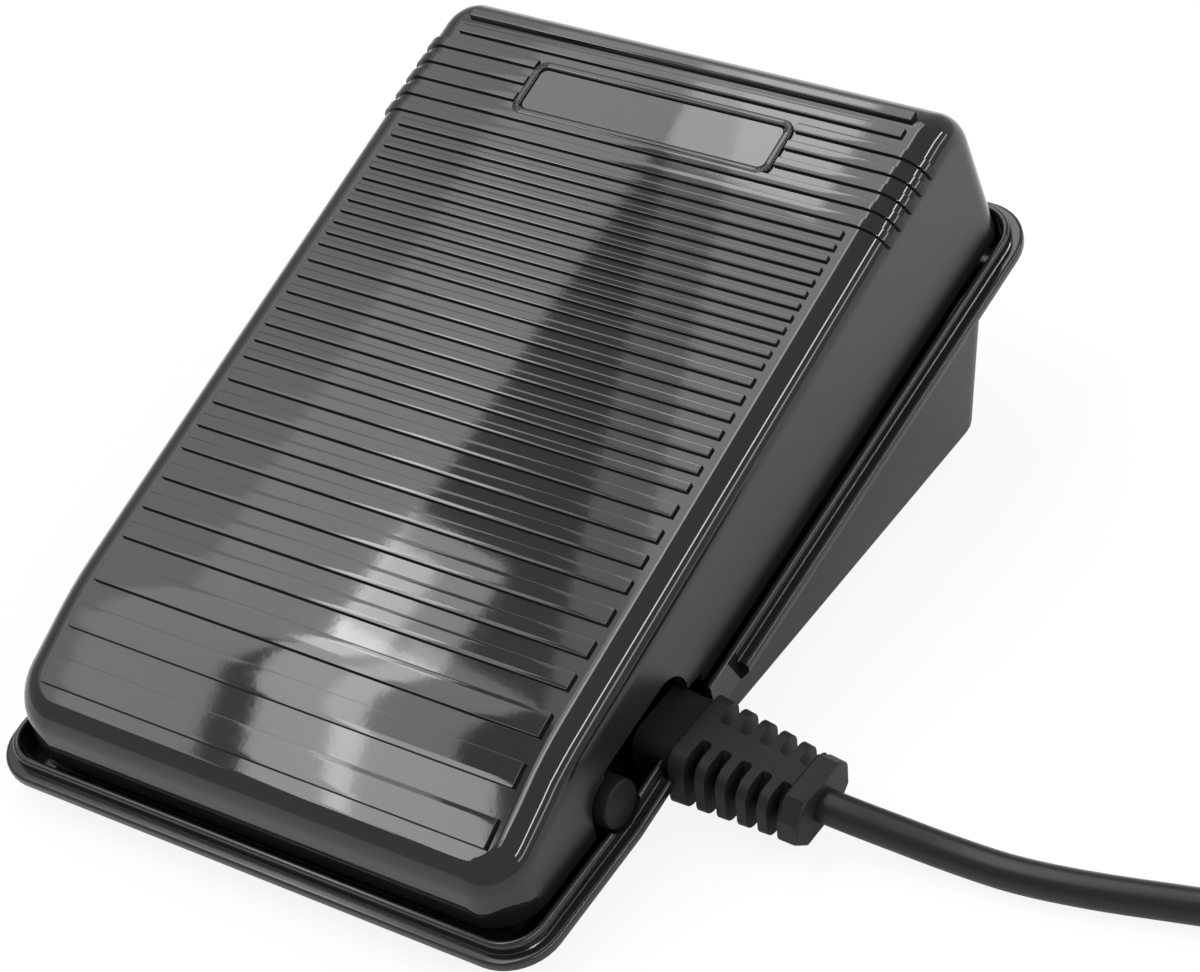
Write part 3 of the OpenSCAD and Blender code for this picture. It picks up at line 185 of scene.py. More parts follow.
def piece(name, bm, matrix, body, sharp=35):
    """Finish a bmesh as an object that rides on a body, smooth but for its sharp edges."""
    bm.transform(matrix)
    bmesh.ops.recalc_face_normals(bm, faces=bm.faces)
    mesh = bpy.data.meshes.new(name)
    bm.to_mesh(mesh)
    bm.free()
    made = bpy.data.objects.new(name, mesh)
    bpy.context.scene.collection.objects.link(made)
    shade(made, sharp)
    if body:
        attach(made, body)
    print(name, len(mesh.polygons), "faces")
    return made


def shade(made, sharp=35):
    """Smooth shading with edges kept sharp above an angle in degrees."""
    made.data.polygons.foreach_set("use_smooth", [True] * len(made.data.polygons))
    made.data.set_sharp_from_angle(angle=math.radians(sharp))


def flatten(made):
    """Let large faces rule the shading, so that a bevel doesn't bend the look of its flats."""
    flat = made.modifiers.new("flat faces", "WEIGHTED_NORMAL")
    flat.keep_sharp = True


def bake(made):
    """Keep what an object's modifiers make of it as its own mesh."""
    shown = made.evaluated_get(bpy.context.evaluated_depsgraph_get())
    old, made.data = made.data, bpy.data.meshes.new_from_object(shown)
    made.modifiers.clear()
    bpy.data.meshes.remove(old)


def cut(made, cutter, folded=False):
    """Take the cutter's shape out of an object, folded or not, and remove the cutter."""
    knife = made.modifiers.new("cut", "BOOLEAN")
    knife.object = cutter
    knife.operation = "DIFFERENCE"
    knife.solver, knife.use_self = "EXACT", folded
    bake(made)
    bpy.data.objects.remove(cutter)


def verts_of(geom):
    return [g for g in geom if isinstance(g, bmesh.types.BMVert)]


def edges_of(geom):
    return [g for g in geom if isinstance(g, bmesh.types.BMEdge)]


def uprights(edges):
    """The edges that stand up."""
    return [e for e in edges if abs(e.verts[0].co.z - e.verts[1].co.z) > 0.3]


def bevel(bm, geom, size, segments, affect="EDGES"):
    """Round edges or corners, with the editor's settings."""
    return bmesh.ops.bevel(bm, geom=geom, offset=size, segments=segments, profile=0.5,
                           affect=affect, clamp_overlap=False, material=-1)


def arc(x, y, radius, start, end, steps):
    """Points on part of a circle, from one angle to another in degrees."""
    angles = [math.radians(start + (end - start) * k / steps) for k in range(steps + 1)]
    return [(x + radius * math.cos(a), y + radius * math.sin(a)) for a in angles]


def prism(bm, outline, depth):
    """A face through the outline points, pushed out by the depth vector."""
    face = bm.faces.new([bm.verts.new(p) for p in outline])
    pushed = bmesh.ops.extrude_face_region(bm, geom=[face])["geom"]
    bmesh.ops.translate(bm, vec=depth, verts=verts_of(pushed))
    return pushed


def box(bm, low, high):
    """A block between two corners."""
    low, high = Vector(low), Vector(high)
    place = Matrix.Translation((low + high) / 2) @ Matrix.Diagonal((*(high - low), 1))
    return bmesh.ops.create_cube(bm, size=1, matrix=place)["verts"]


def rod(bm, start, end, radius, round_by=0, segments=40):
    """A cylinder between two points with rounded ends."""
    start, end = Vector(start), Vector(end)
    along = end - start
    turn = along.to_track_quat("Z", "Y").to_matrix().to_4x4()
    place = Matrix.Translation((start + end) / 2) @ turn
    made = bmesh.ops.create_cone(bm, cap_ends=True, segments=segments, radius1=radius,
                                 radius2=radius, depth=along.length, matrix=place)["verts"]
    if round_by:
        caps = {f for v in made for f in v.link_faces if len(f.verts) > 4}
        bevel(bm, [e for f in caps for e in f.edges], round_by, 3)


def hinge_rod(bm, side, inner, outer, radius, **shape):
    """A cylinder on the hinge line of one side, between two distances from the middle."""
    rod(bm, *[(side * x, HINGE_Y, HINGE_Z) for x in (inner, outer)], radius, **shape)


def cut_hinge(made, name, side, inner, outer, radius):
    """Cut a round space on the hinge line out of an object."""
    bm = bmesh.new()
    hinge_rod(bm, side, inner, outer, radius)
    cut(made, piece(name, bm, SCALE, None))


def cut_box(made, name, low, high, folded=False):
    """Cut a plain block out of an object."""
    bm = bmesh.new()
    box(bm, low, high)
    cut(made, piece(name, bm, SCALE, None), folded)


tilts = [round(math.degrees(a), 2) for a in (RIM_TILT, FRONT_TILT, DECK_RISE)]
print("rim, front and deck tilt by", tilts, "degrees")

# %% [markdown]
# ## Treadle cover
# The cover is a moulded cap: straight walls, a deck that bends down over the nose, rounded
# edges and a hollow inside. It could be sculpted or lofted, but its whole shape follows from
# its side view. So the side view, with the round back edge in it, is one face that is pushed
# across. The two upright corners at the front are bevelled, and a weighted Bevel rounds the
# edges of the side walls: 4.8 mm along the deck and down the back, and less over the nose.
# Solidify then gives the wall its thickness.

# %% Treadle cover
cover_hw, cover_rear, cover_lift = 48.4, 120.91, 1.0
cover_wall, edge_r, rear_edge_r, nose_bevel, nose_corner_r = 2.2, 4.8, 8, 3.08, 8
bend_s, bend_l, bend_radius = 2.7, 12, 60
nose_top, nose_low = (-23.23, 13.23), (-25.02, 3.87)


def deck_point(s, h):
    """Side view of the deck: straight, then bent down over the nose and straight again."""
    if s >= bend_s:
        return s, h
    a = min(bend_s - s, bend_l) / bend_radius
    after = max(bend_s - s - bend_l, 0)
    return (bend_s - (bend_radius + h) * math.sin(a) - after * math.cos(a),
            (bend_radius + h) * math.cos(a) - bend_radius - after * math.sin(a))


def deck_to_rim(s, h):
    """The same point measured in the plane of the rim."""
    c, k = math.cos(DECK_RISE), math.sin(DECK_RISE)
    return s * c - h * k, DECK_H + s * k + h * c


back_p = cover_rear - rear_edge_r
back_q = DECK_H + back_p * math.tan(DECK_RISE) - rear_edge_r / math.cos(DECK_RISE)
back = arc(back_p, back_q, rear_edge_r, 0, 90 + math.degrees(DECK_RISE), 8)
bend = [deck_to_rim(*deck_point(bend_s - step, 0)) for step in (0, 3, 6, 9, 12)]
side_view = [(cover_rear, cover_lift), *back, *bend, nose_top, nose_low, (0, cover_lift)]
bm = bmesh.new()
prism(bm, [(-cover_hw, p, q) for p, q in side_view], (2 * cover_hw, 0, 0))
bmesh.ops.recalc_face_normals(bm, faces=bm.faces)
bmesh.ops.delete(bm, geom=[f for f in bm.faces if f.normal.z < -0.8], context="FACES_ONLY")


def is_wall(face):
    """True for the side walls, the front and the corners between them."""
    return abs(face.normal.z) < 0.3 and face.normal.y < 0.5


inner_edges = [e for e in bm.edges if len(e.link_faces) == 2]
bevel(bm, [e for e in inner_edges if all(is_wall(f) for f in e.link_faces)], nose_corner_r, 8)
weight = bm.edges.layers.float.new("bevel_weight_edge")
for edge in bm.edges:
    walls = [f for f in edge.link_faces if is_wall(f)]
    if len(edge.link_faces) == 2 and len(walls) == 1:
        n = walls[0].normal
        turn = abs(n.y) / (abs(n.x) + abs(n.y))
        edge[weight] = 1 + (nose_bevel / edge_r - 1) * turn
cover = piece("treadle_shell", bm, RIM, "treadle")
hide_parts("treadle_cover")
soften = cover.modifiers.new("rounded deck edge", "BEVEL")
soften.width, soften.segments, soften.limit_method = edge_r * MM, 7, "WEIGHT"
soften.use_clamp_overlap = False
wall = cover.modifiers.new("wall", "SOLIDIFY")
wall.thickness, wall.offset, wall.use_even_offset = cover_wall * MM, -1, True
bake(cover)

# %% [markdown]
# ### Openings in the cover
# The arch over the cord, the slots over the hinge pins and the recess of the plate are cut
# out with Booleans, because they go through walls that are already thick. Each cutter is a
# face pushed through the wall, with its corner rounded by a vertex bevel.

# %% Openings in the cover
plate_s, plate_w, plate_l, plate_depth, frame_w, frame_h = 103.46, 47, 8.3, 0.8, 1.3, 0.6
slot_r, slot_in, slot_out, arch_r, recess_r = 4.6, 45.6, 52, 5, 1.2
arch = [(HINGE_Y, -5), (HINGE_Y, 18.5), (-29.6, 21.4), (-24.4, 21.4), (-24.4, 16.2), (-21, 16.2),
        (-21, -5)]
bm = bmesh.new()
bm.faces.new([bm.verts.new((44, y, z)) for y, z in arch])
bm.verts.ensure_lookup_table()
bevel(bm, [bm.verts[3]], arch_r, 8, "VERTICES")
pushed = bmesh.ops.extrude_face_region(bm, geom=list(bm.faces))["geom"]
bmesh.ops.translate(bm, vec=(10, 0, 0), verts=verts_of(pushed))
cut(cover, piece("arch", bm, SCALE, None))
for side in (-1, 1):
    cut_hinge(cover, "pin_hole", side, slot_in, slot_out, slot_r)
    low, high = sorted((side * slot_in, side * slot_out))
    cut_box(cover, "pin_slot", (low, HINGE_Y - slot_r, 0), (high, HINGE_Y + slot_r, HINGE_Z))
bm = bmesh.new()
box(bm, (-plate_w / 2, plate_s - plate_l / 2, -plate_depth),
    (plate_w / 2, plate_s + plate_l / 2, 2))
bevel(bm, uprights(bm.edges), recess_r, 4)
cut(cover, piece("recess", bm, DECK, None))
shade(cover, 30)
flatten(cover)
print("cover", len(cover.data.polygons), "faces")

# %% [markdown]
# ## Tread ribs
# Low flat bars cross the deck, fine and close at the high end and wide toward the nose. They
# could be cut into the deck as grooves, but then one mesh would hold hundreds of cuts.
# Instead each bar is a strip made from its side view, pushed across the deck and sunk a
# little into it. The edges of its top are bevelled, because they catch the light.

# %% Tread ribs
tread_hw, rib_share, rib_h, nose_rib_h, rib_sink, rib_edge = 42.5, 0.5, 0.5, 0.65, 0.4, 0.14
rear_s, rear_pitch, fine_pitch, wide_pitch = 114.06, 3.42, 2.285, 8.2
plain_bars, framed_bars, wrapped_bars = 2, 3, 5
# Pitch and count of the bars below the wrapped ones, down to the nose.
groups = [(2.8, 1), (fine_pitch, 11), (3.285, 7), (4.59, 4), (5.76, 3), (wide_pitch, 2), (9.5, 1)]
bm = bmesh.new()


def bar(s, pitch, height):
    """One straight rib across the deck, bent with it over the nose."""
    back = s + rib_share * pitch
    top = [deck_point(back + (s - back) * k / 4, height) for k in range(5)]
    outline = [deck_point(back, -rib_sink), *top, deck_point(s, -rib_sink)]
    before = set(bm.edges)
    prism(bm, [(-tread_hw, a, b) for a, b in outline], (2 * tread_hw, 0, 0))
    fresh = set(bm.edges) - before
    bevel(bm, [e for e in fresh if is_rim(e, top)], rib_edge, 2)


def is_rim(edge, top):
    """True for the edges round the top of a rib."""
    def on_top(vert):
        return min((vert.co.yz - Vector(p)).length for p in top) < 1e-4

    def at_end(vert):
        return min((vert.co.yz - Vector(p)).length for p in (top[0], top[-1])) < 1e-4

    a, b = edge.verts
    if not (on_top(a) and on_top(b)):
        return False
    across = abs(a.co.x - b.co.x) > 1
    return at_end(a) and at_end(b) if across else True


for index in range(plain_bars):
    bar(rear_s - index * rear_pitch, rear_pitch, rib_h)
s = rear_s - (plain_bars + wrapped_bars - 1) * rear_pitch
for pitch, count in groups:
    for _ in range(count):
        s -= pitch
        share = (pitch - fine_pitch) / (wide_pitch - fine_pitch)
        bar(s, pitch, rib_h + (nose_rib_h - rib_h) * share)
ribs = piece("tread_ribs", bm, DECK, "treadle", 25)
flatten(ribs)
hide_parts("treadle_cover")

# %% [markdown]
# ## Wrapped ribs
# At the high end five bars run on over the rounded side edges. Such a bar is a flat strip with
# almost a quarter turn at its end: a thin quad, pushed out to the edge and then spun about the
# centre of the rounding. Three of them stop at the frame of the plate. The halves of the other
# two meet in the middle, so they are joined there.

# %% Wrapped ribs
edge_x = cover_hw - edge_r
wrap_angle = math.radians(80)
frame_gap = 0.15
bm = bmesh.new()


def wrapped_rib(s, start_x, side):
    """Half a bar, from start_x out over the rounded edge on one side."""
    width = rib_share * rear_pitch
    before = set(bm.verts)
    outline = [(s, -rib_sink), (s, rib_h), (s + width, rib_h), (s + width, -rib_sink)]
    section = [(side * start_x, a, b) for a, b in outline]
    strip = prism(bm, section, (side * (edge_x - start_x), 0, 0))
    end = [f for f in strip if isinstance(f, bmesh.types.BMFace)]
    bmesh.ops.spin(bm, geom=end, cent=(side * edge_x, 0, -edge_r), axis=(0, side, 0),
                   angle=wrap_angle, steps=9)
    bmesh.ops.delete(bm, geom=end, context="FACES_ONLY")
    bmesh.ops.remove_doubles(bm, verts=[v for v in bm.verts if v not in before], dist=0.001)


for index in range(plain_bars, plain_bars + wrapped_bars):
    beside_frame = index < plain_bars + framed_bars
    start_x = plate_w / 2 + frame_w + frame_gap if beside_frame else 0
    for side in (-1, 1):
        wrapped_rib(rear_s - index * rear_pitch, start_x, side)
middle = [v for v in bm.verts if abs(v.co.x) < 0.001]
inner = [f for f in bm.faces if all(v in middle for v in f.verts)]
bmesh.ops.delete(bm, geom=inner, context="FACES_ONLY")
bmesh.ops.remove_doubles(bm, verts=middle, dist=0.001)
bmesh.ops.recalc_face_normals(bm, faces=bm.faces)
crests = [e for e in bm.edges if len(e.link_faces) == 2 and e.calc_face_angle() > 1.2]
bevel(bm, crests, rib_edge, 2)
wrapped = piece("wrapped_ribs", bm, DECK, "treadle", 25)
flatten(wrapped)
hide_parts("treadle_cover")

# %% [markdown]
# ## Frame and plate
# A low rounded frame stands round the recess of the plate. It is a block with rounded corners
# whose top is inset and pushed down, so the ridge keeps one width all round. The plate itself
# carries the maker's words on the real pedal and stays bare here.

# %% Frame and plate
frame_r, frame_edge, frame_sink, frame_well = 2.2, 0.35, 0.3, plate_depth - 0.05
plate_r, plate_gap, plate_top = 1.1, 0.2, 0.15
half_w, half_l = plate_w / 2 + frame_w, plate_l / 2 + frame_w
bm = bmesh.new()
box(bm, (-half_w, plate_s - half_l, -frame_sink), (half_w, plate_s + half_l, frame_h))
bevel(bm, uprights(bm.edges), frame_r, 6)
top = [f for f in bm.faces if f.normal.z > 0.9]
bmesh.ops.inset_region(bm, faces=top, thickness=frame_w, use_even_offset=True)
pushed = bmesh.ops.extrude_face_region(bm, geom=top)["geom"]
bmesh.ops.translate(bm, vec=(0, 0, -frame_h - frame_well), verts=verts_of(pushed))
bmesh.ops.delete(bm, geom=top, context="FACES_ONLY")
bmesh.ops.delete(bm, geom=[f for f in bm.faces if f.normal.z < -0.9], context="FACES_ONLY")
inner_edges = [e for e in bm.edges if len(e.link_faces) == 2]
bevel(bm, [e for e in inner_edges if min(v.co.z for v in e.verts) > frame_h - 0.01], frame_edge, 3)
plate_frame = piece("plate_frame", bm, DECK, "treadle")
flatten(plate_frame)
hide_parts("treadle_cover")
half_w, half_l = plate_w / 2 - plate_gap, plate_l / 2 - plate_gap
bm = bmesh.new()
box(bm, (-half_w, plate_s - half_l, -plate_depth), (half_w, plate_s + half_l, plate_top))
bevel(bm, uprights(bm.edges), plate_r, 4)
plate = piece("plain_plate", bm, DECK, "treadle")
flatten(plate)
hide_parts("bare_plate")

# %% [markdown]
# ## Base
# The rim of the base has one cross-section all the way round: a rounded lip, a flat flange
# and a bevelled underside. That section is drawn once at the hinge and then carried round the
# base, straight along each side and spun round each corner. Front and back lie in two planes
# that meet at the hinge, so the flat loop is bent there afterwards. The wedge below is an
# outline with rounded corners, extruded and leaned outward.

# %% Rim of the base
half_width, rear_p, front_p, rear_r, front_r = 52.5, 125.01, 29.48, 9, 8.4
under_q, front_under = -2.2, 0.42
pin_space_r, pin_space_in, pin_space_out = 4.35, 48.4, 51.4
flange_gap = (wall_x, -36.7, -1), (60, -15, 40)
relief_slot = (40, -35.55, 3.75), (60, -22.05, 40)
lip = arc(-2.4, 1.0, 0.6, 180, 0, 8)
flange = arc(-0.6, -1.1, 0.6, 90, 0, 5)
under = arc(-0.25, -1.85, 0.25, 0, -67.5, 3)
section = [(-3, -5.0), *lip, (-1.8, -0.35), (-1.65, -0.5), *flange, *under, (-1.85, -4.1),
           (-4.2, -6.4), (-11, -6.4), (-11, -5.0)]
bm = bmesh.new()
ring = [bm.verts.new((half_width + d, 0, q)) for d, q in section]
loop = [bm.edges.new((a, b)) for a, b in zip(ring, ring[1:] + ring[:1])]


def straight(loop, vector):
    """Carry the section along a straight run."""
    moved = bmesh.ops.extrude_edge_only(bm, edges=loop)["geom"]
    fresh = set(verts_of(moved))
    bmesh.ops.translate(bm, vec=vector, verts=list(fresh))
    return [e for e in edges_of(moved) if all(v in fresh for v in e.verts)]


def corner(loop, centre):
    """Carry the section round a quarter turn."""
    turned = bmesh.ops.spin(bm, geom=loop, cent=centre, axis=(0, 0, 1), angle=math.pi / 2,
                            steps=10)
    return edges_of(turned["geom_last"])


rear_x, rear_y = half_width - rear_r, rear_p - rear_r
front_x, front_y = half_width - front_r, front_p - front_r
loop = straight(loop, (0, rear_y, 0))
loop = corner(loop, (rear_x, rear_y, 0))
loop = straight(loop, (-2 * rear_x, 0, 0))
loop = corner(loop, (-rear_x, rear_y, 0))
loop = straight(loop, (0, -rear_y, 0))
loop = straight(loop, (0, -front_y, 0))
loop = corner(loop, (-front_x, -front_y, 0))
loop = straight(loop, (2 * front_x, 0, 0))
loop = corner(loop, (front_x, -front_y, 0))
straight(loop, (0, front_y, 0))
bmesh.ops.remove_doubles(bm, verts=bm.verts, dist=0.01)
for vert in bm.verts:
    p, q = vert.co.y, vert.co.z
    tilt = RIM_TILT if p >= 0 else FRONT_TILT
    if p < -0.01 and q < under_q:
        q = under_q + (q - under_q) * front_under
    vert.co.y = HINGE_Y + p * math.cos(tilt) - q * math.sin(tilt)
    vert.co.z = RIM_Z + p * math.sin(tilt) + q * math.cos(tilt)
rim = piece("base_rim", bm, SCALE, "base", 30)
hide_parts("base_housing")
cut_box(rim, "flange_gap", *flange_gap)
cut_box(rim, "relief_slot", *relief_slot)
for side in (-1, 1):
    cut_hinge(rim, "pin_space", side, pin_space_in, pin_space_out, pin_space_r)
shade(rim, 30)

# %% Wedge of the base
tub_hw, tub_rear, tub_front, tub_r, tub_low = 47.8, 59.1, -69, 5, 2.5
tub_wall, tub_edge, rear_drop, front_drop = 2.4, 0.8, 5.4, 3
lean_x, lean_rear, lean_front = (math.tan(math.radians(a)) for a in (7.4, 8, -7.4))
corners = [(tub_hw, tub_front), (tub_hw, HINGE_Y), (tub_hw, tub_rear),
           (-tub_hw, tub_rear), (-tub_hw, HINGE_Y), (-tub_hw, tub_front)]
bm = bmesh.new()
bm.faces.new([bm.verts.new((x, y, tub_low)) for x, y in corners])
bm.verts.ensure_lookup_table()
bevel(bm, [bm.verts[i] for i in (0, 2, 3, 5)], tub_r, 6, "VERTICES")
pushed = bmesh.ops.extrude_face_region(bm, geom=list(bm.faces))["geom"]
for vert in verts_of(pushed):
    x, y = vert.co.x, vert.co.y
    rear = y > HINGE_Y + 1
    at_rear, at_front = y > tub_rear - tub_r - 1, y < tub_front + tub_r + 1
    lean_y = lean_rear if at_rear else lean_front if at_front else 0
    slope = math.tan(RIM_TILT if rear else FRONT_TILT)
    drop = rear_drop if rear else front_drop
    rise = (RIM_Z - tub_low + (y - HINGE_Y) * slope - drop) / (1 - lean_y * slope)
    vert.co = (x + math.copysign(lean_x * rise, x), y + lean_y * rise, tub_low + rise)
lid = [f for f in pushed if isinstance(f, bmesh.types.BMFace)]
bmesh.ops.delete(bm, geom=lid, context="FACES_ONLY")
base = piece("base_wedge", bm, SCALE, "base", 30)
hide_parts("base_housing")
edge = base.modifiers.new("rounded bottom edge", "BEVEL")
edge.width, edge.segments, edge.limit_method = tub_edge * MM, 3, "ANGLE"
thick = base.modifiers.new("wall", "SOLIDIFY")
thick.thickness, thick.offset, thick.use_even_offset = tub_wall * MM, -1, True
bake(base)
cut_box(base, "relief_slot", *relief_slot, folded=True)
shade(base, 30)

# %% [markdown]
# ## Hinge pins
# The pins show as round heads in the side walls. So each is a thin cylinder inside, on which
# the treadle turns, and a short thick one with a bevelled rim that shows.

# %% Hinge pins
pin_r, pin_in, pin_out = 2.2, 36.4, 46
head_r, head_in, head_out, head_edge = 3.9, 45.75, 50.4, 0.5
bm = bmesh.new()
for side in (-1, 1):
    hinge_rod(bm, side, pin_in, pin_out, pin_r)
    hinge_rod(bm, side, head_in, head_out, head_r, round_by=head_edge, segments=56)
pins = piece("hinge_pin_heads", bm, SCALE, "base")
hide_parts("hinge_pins")

# %% [markdown]
# ## Strain relief
# The relief is a soft sleeve with slots, so that it bends as a whole. It could be a row of
# separate plates, but the top of its spine lies flush with them. So it is one block that
# gets lower toward its end, with rounded long edges, and ten pockets are cut from its sides.
# The root that sits in the base and the eight-sided collar are blocks of their own. All of
# it is drawn straight and then drooped by one matrix.

# %% Strain relief
relief_r, spine_hw, first_slot, slot_pitch, slot_w = 2.6, 2.05, 2.78, 3.44, 1.8
sleeve_near, sleeve_far, root_half = (7.7, 5.75), (6.9, 4.25), (6.6, 5.2)
collar_near, collar_far, collar_cut, core_r = (7.3, 4.9), (7.2, 4.8), 2.8, 3.6
slot_corner_r, collar_edge, soft_edge = 0.6, 0.6, 0.2
relief_at, relief_turn = (51.35, -28.8, 9.1), math.radians(7.7)
droop = SCALE @ Matrix.Translation(relief_at) @ Matrix.Rotation(relief_turn, 4, "Y")


def sleeve_block(bm, start, end, near, far, round_by, segments):
    """A block between two places along the relief, with half its width and height at each."""
    made = box(bm, (start, -1, -1), (end, 1, 1))
    for vert in made:
        w, h = near if vert.co.x < (start + end) / 2 else far
        vert.co.y, vert.co.z = vert.co.y * w, vert.co.z * h
    edges = {e for v in made for e in v.link_edges}
    long_edges = [e for e in edges if abs(e.verts[0].co.x - e.verts[1].co.x) > 0.1]
    return bevel(bm, long_edges, round_by, segments)["faces"]


bm = bmesh.new()
sleeve_block(bm, 0.1, 18.5, sleeve_near, sleeve_far, relief_r, 6)
relief = piece("strain_relief_sleeve", bm, droop, "base", 40)
bm = bmesh.new()
for index in range(5):
    for side in (-1, 1):
        low, high = sorted((side * spine_hw, side * 10))
        at = first_slot + index * slot_pitch
        pocket = box(bm, (at, low, -8), (at + slot_w, high, 8))
        bevel(bm, uprights({e for v in pocket for e in v.link_edges}), slot_corner_r, 4)
cut(relief, piece("pockets", bm, droop, None))
soft = relief.modifiers.new("soft edges", "BEVEL")
soft.width, soft.segments = soft_edge * MM, 2
soft.limit_method, soft.angle_limit = "ANGLE", math.radians(50)
bake(relief)
shade(relief, 40)
flatten(relief)

# %% Root and collar
bm = bmesh.new()
sleeve_block(bm, -6.8, 0.4, root_half, root_half, relief_r, 6)
facets = sleeve_block(bm, 18.2, 21.9, collar_near, collar_far, collar_cut, 1)
caps = {f for face in facets for v in face.verts for f in v.link_faces if len(f.verts) > 4}
bevel(bm, list({e for f in caps for e in f.edges}), collar_edge, 3)
rod(bm, (0, 0, 0), (21.7, 0, 0), core_r)
collar = piece("strain_relief_collar", bm, droop, "base", 40)
flatten(collar)
for made in (relief, collar):
    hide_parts("strain_relief")
outside[0] * MM

# %% [markdown]
# ## Springs
# Two return springs lift the treadle and a small one lifts the slider of the speed control. A
# coil is a line on a cylinder, so each is a round curve turned into a mesh.

# %% Springs


def spring(name, centre, length, radius, wire, turns):
    """A compression spring with closed ends, standing at the centre point."""
    points = []
    for k in range(turns * 24 + 1):
        a = k / 24
        rise = min(max((a - 0.75) / (turns - 1.5), 0), 1) * (length - 2 * wire)
        x = (radius - wire) * math.cos(2 * math.pi * a)
        y = (radius - wire) * math.sin(2 * math.pi * a)
        points.append(Vector(centre) + Vector((x, y, wire + rise)))
    made = cord_curve(name + "_line", points, wire)
    shown = made.evaluated_get(bpy.context.evaluated_depsgraph_get())
    mesh = bpy.data.meshes.new_from_object(shown)
    bpy.data.objects.remove(made)
    solid = bpy.data.objects.new(name, mesh)
    bpy.context.scene.collection.objects.link(solid)
    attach(solid, "base")
    return solid


for side, word in ((-1, "left"), (1, "right")):
    coil = spring(f"return_spring_{word}", (side * 26, 46, 8), 36, 4.5, 0.6, 7)
    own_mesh(coil)
    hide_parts("return_springs")
lift = spring("slider_lift_spring", (0, 24, 12.2), 11.75, 3, 0.35, 5)
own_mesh(lift)
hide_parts("slider_spring")
print("springs made")

# %% [markdown]
# ## Shader sums
# Materials are small networks of nodes. Wired by hand in Python they are hard to read, so one
# class wraps a socket and lets it stand in a plain sum. Its `node` method adds any node, sets
# it up and feeds its sockets.

# %% Shader sums


class Wire:
    """An output socket of a material that can stand in a sum."""

    def __init__(self, tree, socket=None):
        self.tree = tree
        self.socket = socket

    def node(self, kind, settings=None, inputs=None, output=0):
        made = self.tree.nodes.new(kind)
        for name, value in (settings or {}).items():
            setattr(made, name, value)
        for name, value in (inputs or {}).items():
            if isinstance(value, Wire):
                self.tree.links.new(value.socket, made.inputs[name])
            else:
                made.inputs[name].default_value = value
        return Wire(self.tree, made.outputs[output])

    def sum(self, operation, first, second):
        return self.node("ShaderNodeMath", {"operation": operation}, {0: first, 1: second})

    def __add__(self, other):
        return self.sum("ADD", self, other)

    def __radd__(self, other):
        return self.sum("ADD", other, self)

    def __sub__(self, other):
        return self.sum("SUBTRACT", self, other)

    def __rsub__(self, other):
        return self.sum("SUBTRACT", other, self)

    def __mul__(self, other):
        return self.sum("MULTIPLY", self, other)

    def __rmul__(self, other):
        return self.sum("MULTIPLY", other, self)

    def __truediv__(self, other):
        return self.sum("DIVIDE", self, other)

    def __rtruediv__(self, other):
        return self.sum("DIVIDE", other, self)

    def __gt__(self, other):
        return self.sum("GREATER_THAN", self, other)

    def __lt__(self, other):
        return self.sum("LESS_THAN", self, other)

    def place(self):
        return self.node("ShaderNodeTexCoord", output="Object")

    def noise(self, scale, detail=2.0, stretch=(1, 1, 1)):
        """Noise in object space; scale counts features per metre."""
        spread = self.node("ShaderNodeVectorMath", {"operation": "MULTIPLY"},
                           {0: self.place(), 1: stretch})
        return self.node("ShaderNodeTexNoise", {},
                         {"Vector": spread, "Scale": scale, "Detail": detail})

    def mix(self, factor, first, second):
        return self.node("ShaderNodeMix", {"data_type": "RGBA"},
                         {"Factor": factor, 6: first, 7: second}, output=2)

    def bump(self, height, strength, depth):
        return self.node("ShaderNodeBump", {},
                         {"Height": height, "Strength": strength, "Distance": depth})


def finish(name, make, **constants):
    """A material: make() returns what varies, constants stay on the shader's own sockets."""
    material = bpy.data.materials.new(name)
    material.use_nodes = True
    tree = material.node_tree
    shader = tree.nodes["Principled BSDF"]
    for socket, value in constants.items():
        shader.inputs[socket.replace("_", " ")].default_value = value
    for socket, wire in make(Wire(tree)).items():
        tree.links.new(wire.socket, shader.inputs[socket.replace("_", " ")])
    return material


print("helpers for materials:", Wire.__name__, finish.__name__)

# %% [markdown]
# ## Plastics and rubbers
# The cover and the rim are glossy black plastic: nearly black below and a clear reflection
# above, a little uneven where the mould was polished. Past the rounded edge of the deck the
# side walls are satin, so the plastic is rougher there. The wedge, the pins and the rubber are
# matte. One recipe makes them all: a colour that drifts a little, a roughness that drifts with
# it and a fine bump.

# %% Plastics and rubbers
satin_x = 0.0482
cream = (1, 0.98, 0.92)


def grey(level, tint=(1, 1, 1)):
    return (level * tint[0], level * tint[1], level * tint[2], 1)


def plastic(name, dark, light, rough, spread, grain, depth, satin=0, shine=0.5):
    """Plastic or rubber between two colours: uneven, finely grained and satin on the sides."""

    def make(w):
        drift = w.noise(35, 3)
        fine = w.noise(grain, 4)
        across = w.node("ShaderNodeSeparateXYZ", {}, {"Vector": w.place()}, output="X")
        side_wall = across * across > satin_x ** 2
        uneven = rough + (fine - 0.5) * spread + (drift - 0.5) * spread
        return {"Base_Color": w.mix(drift, dark, light), "Roughness": uneven + side_wall * satin,
                "Normal": w.bump(fine, 0.5, depth)}

    return finish(name, make, Specular_IOR_Level=shine)


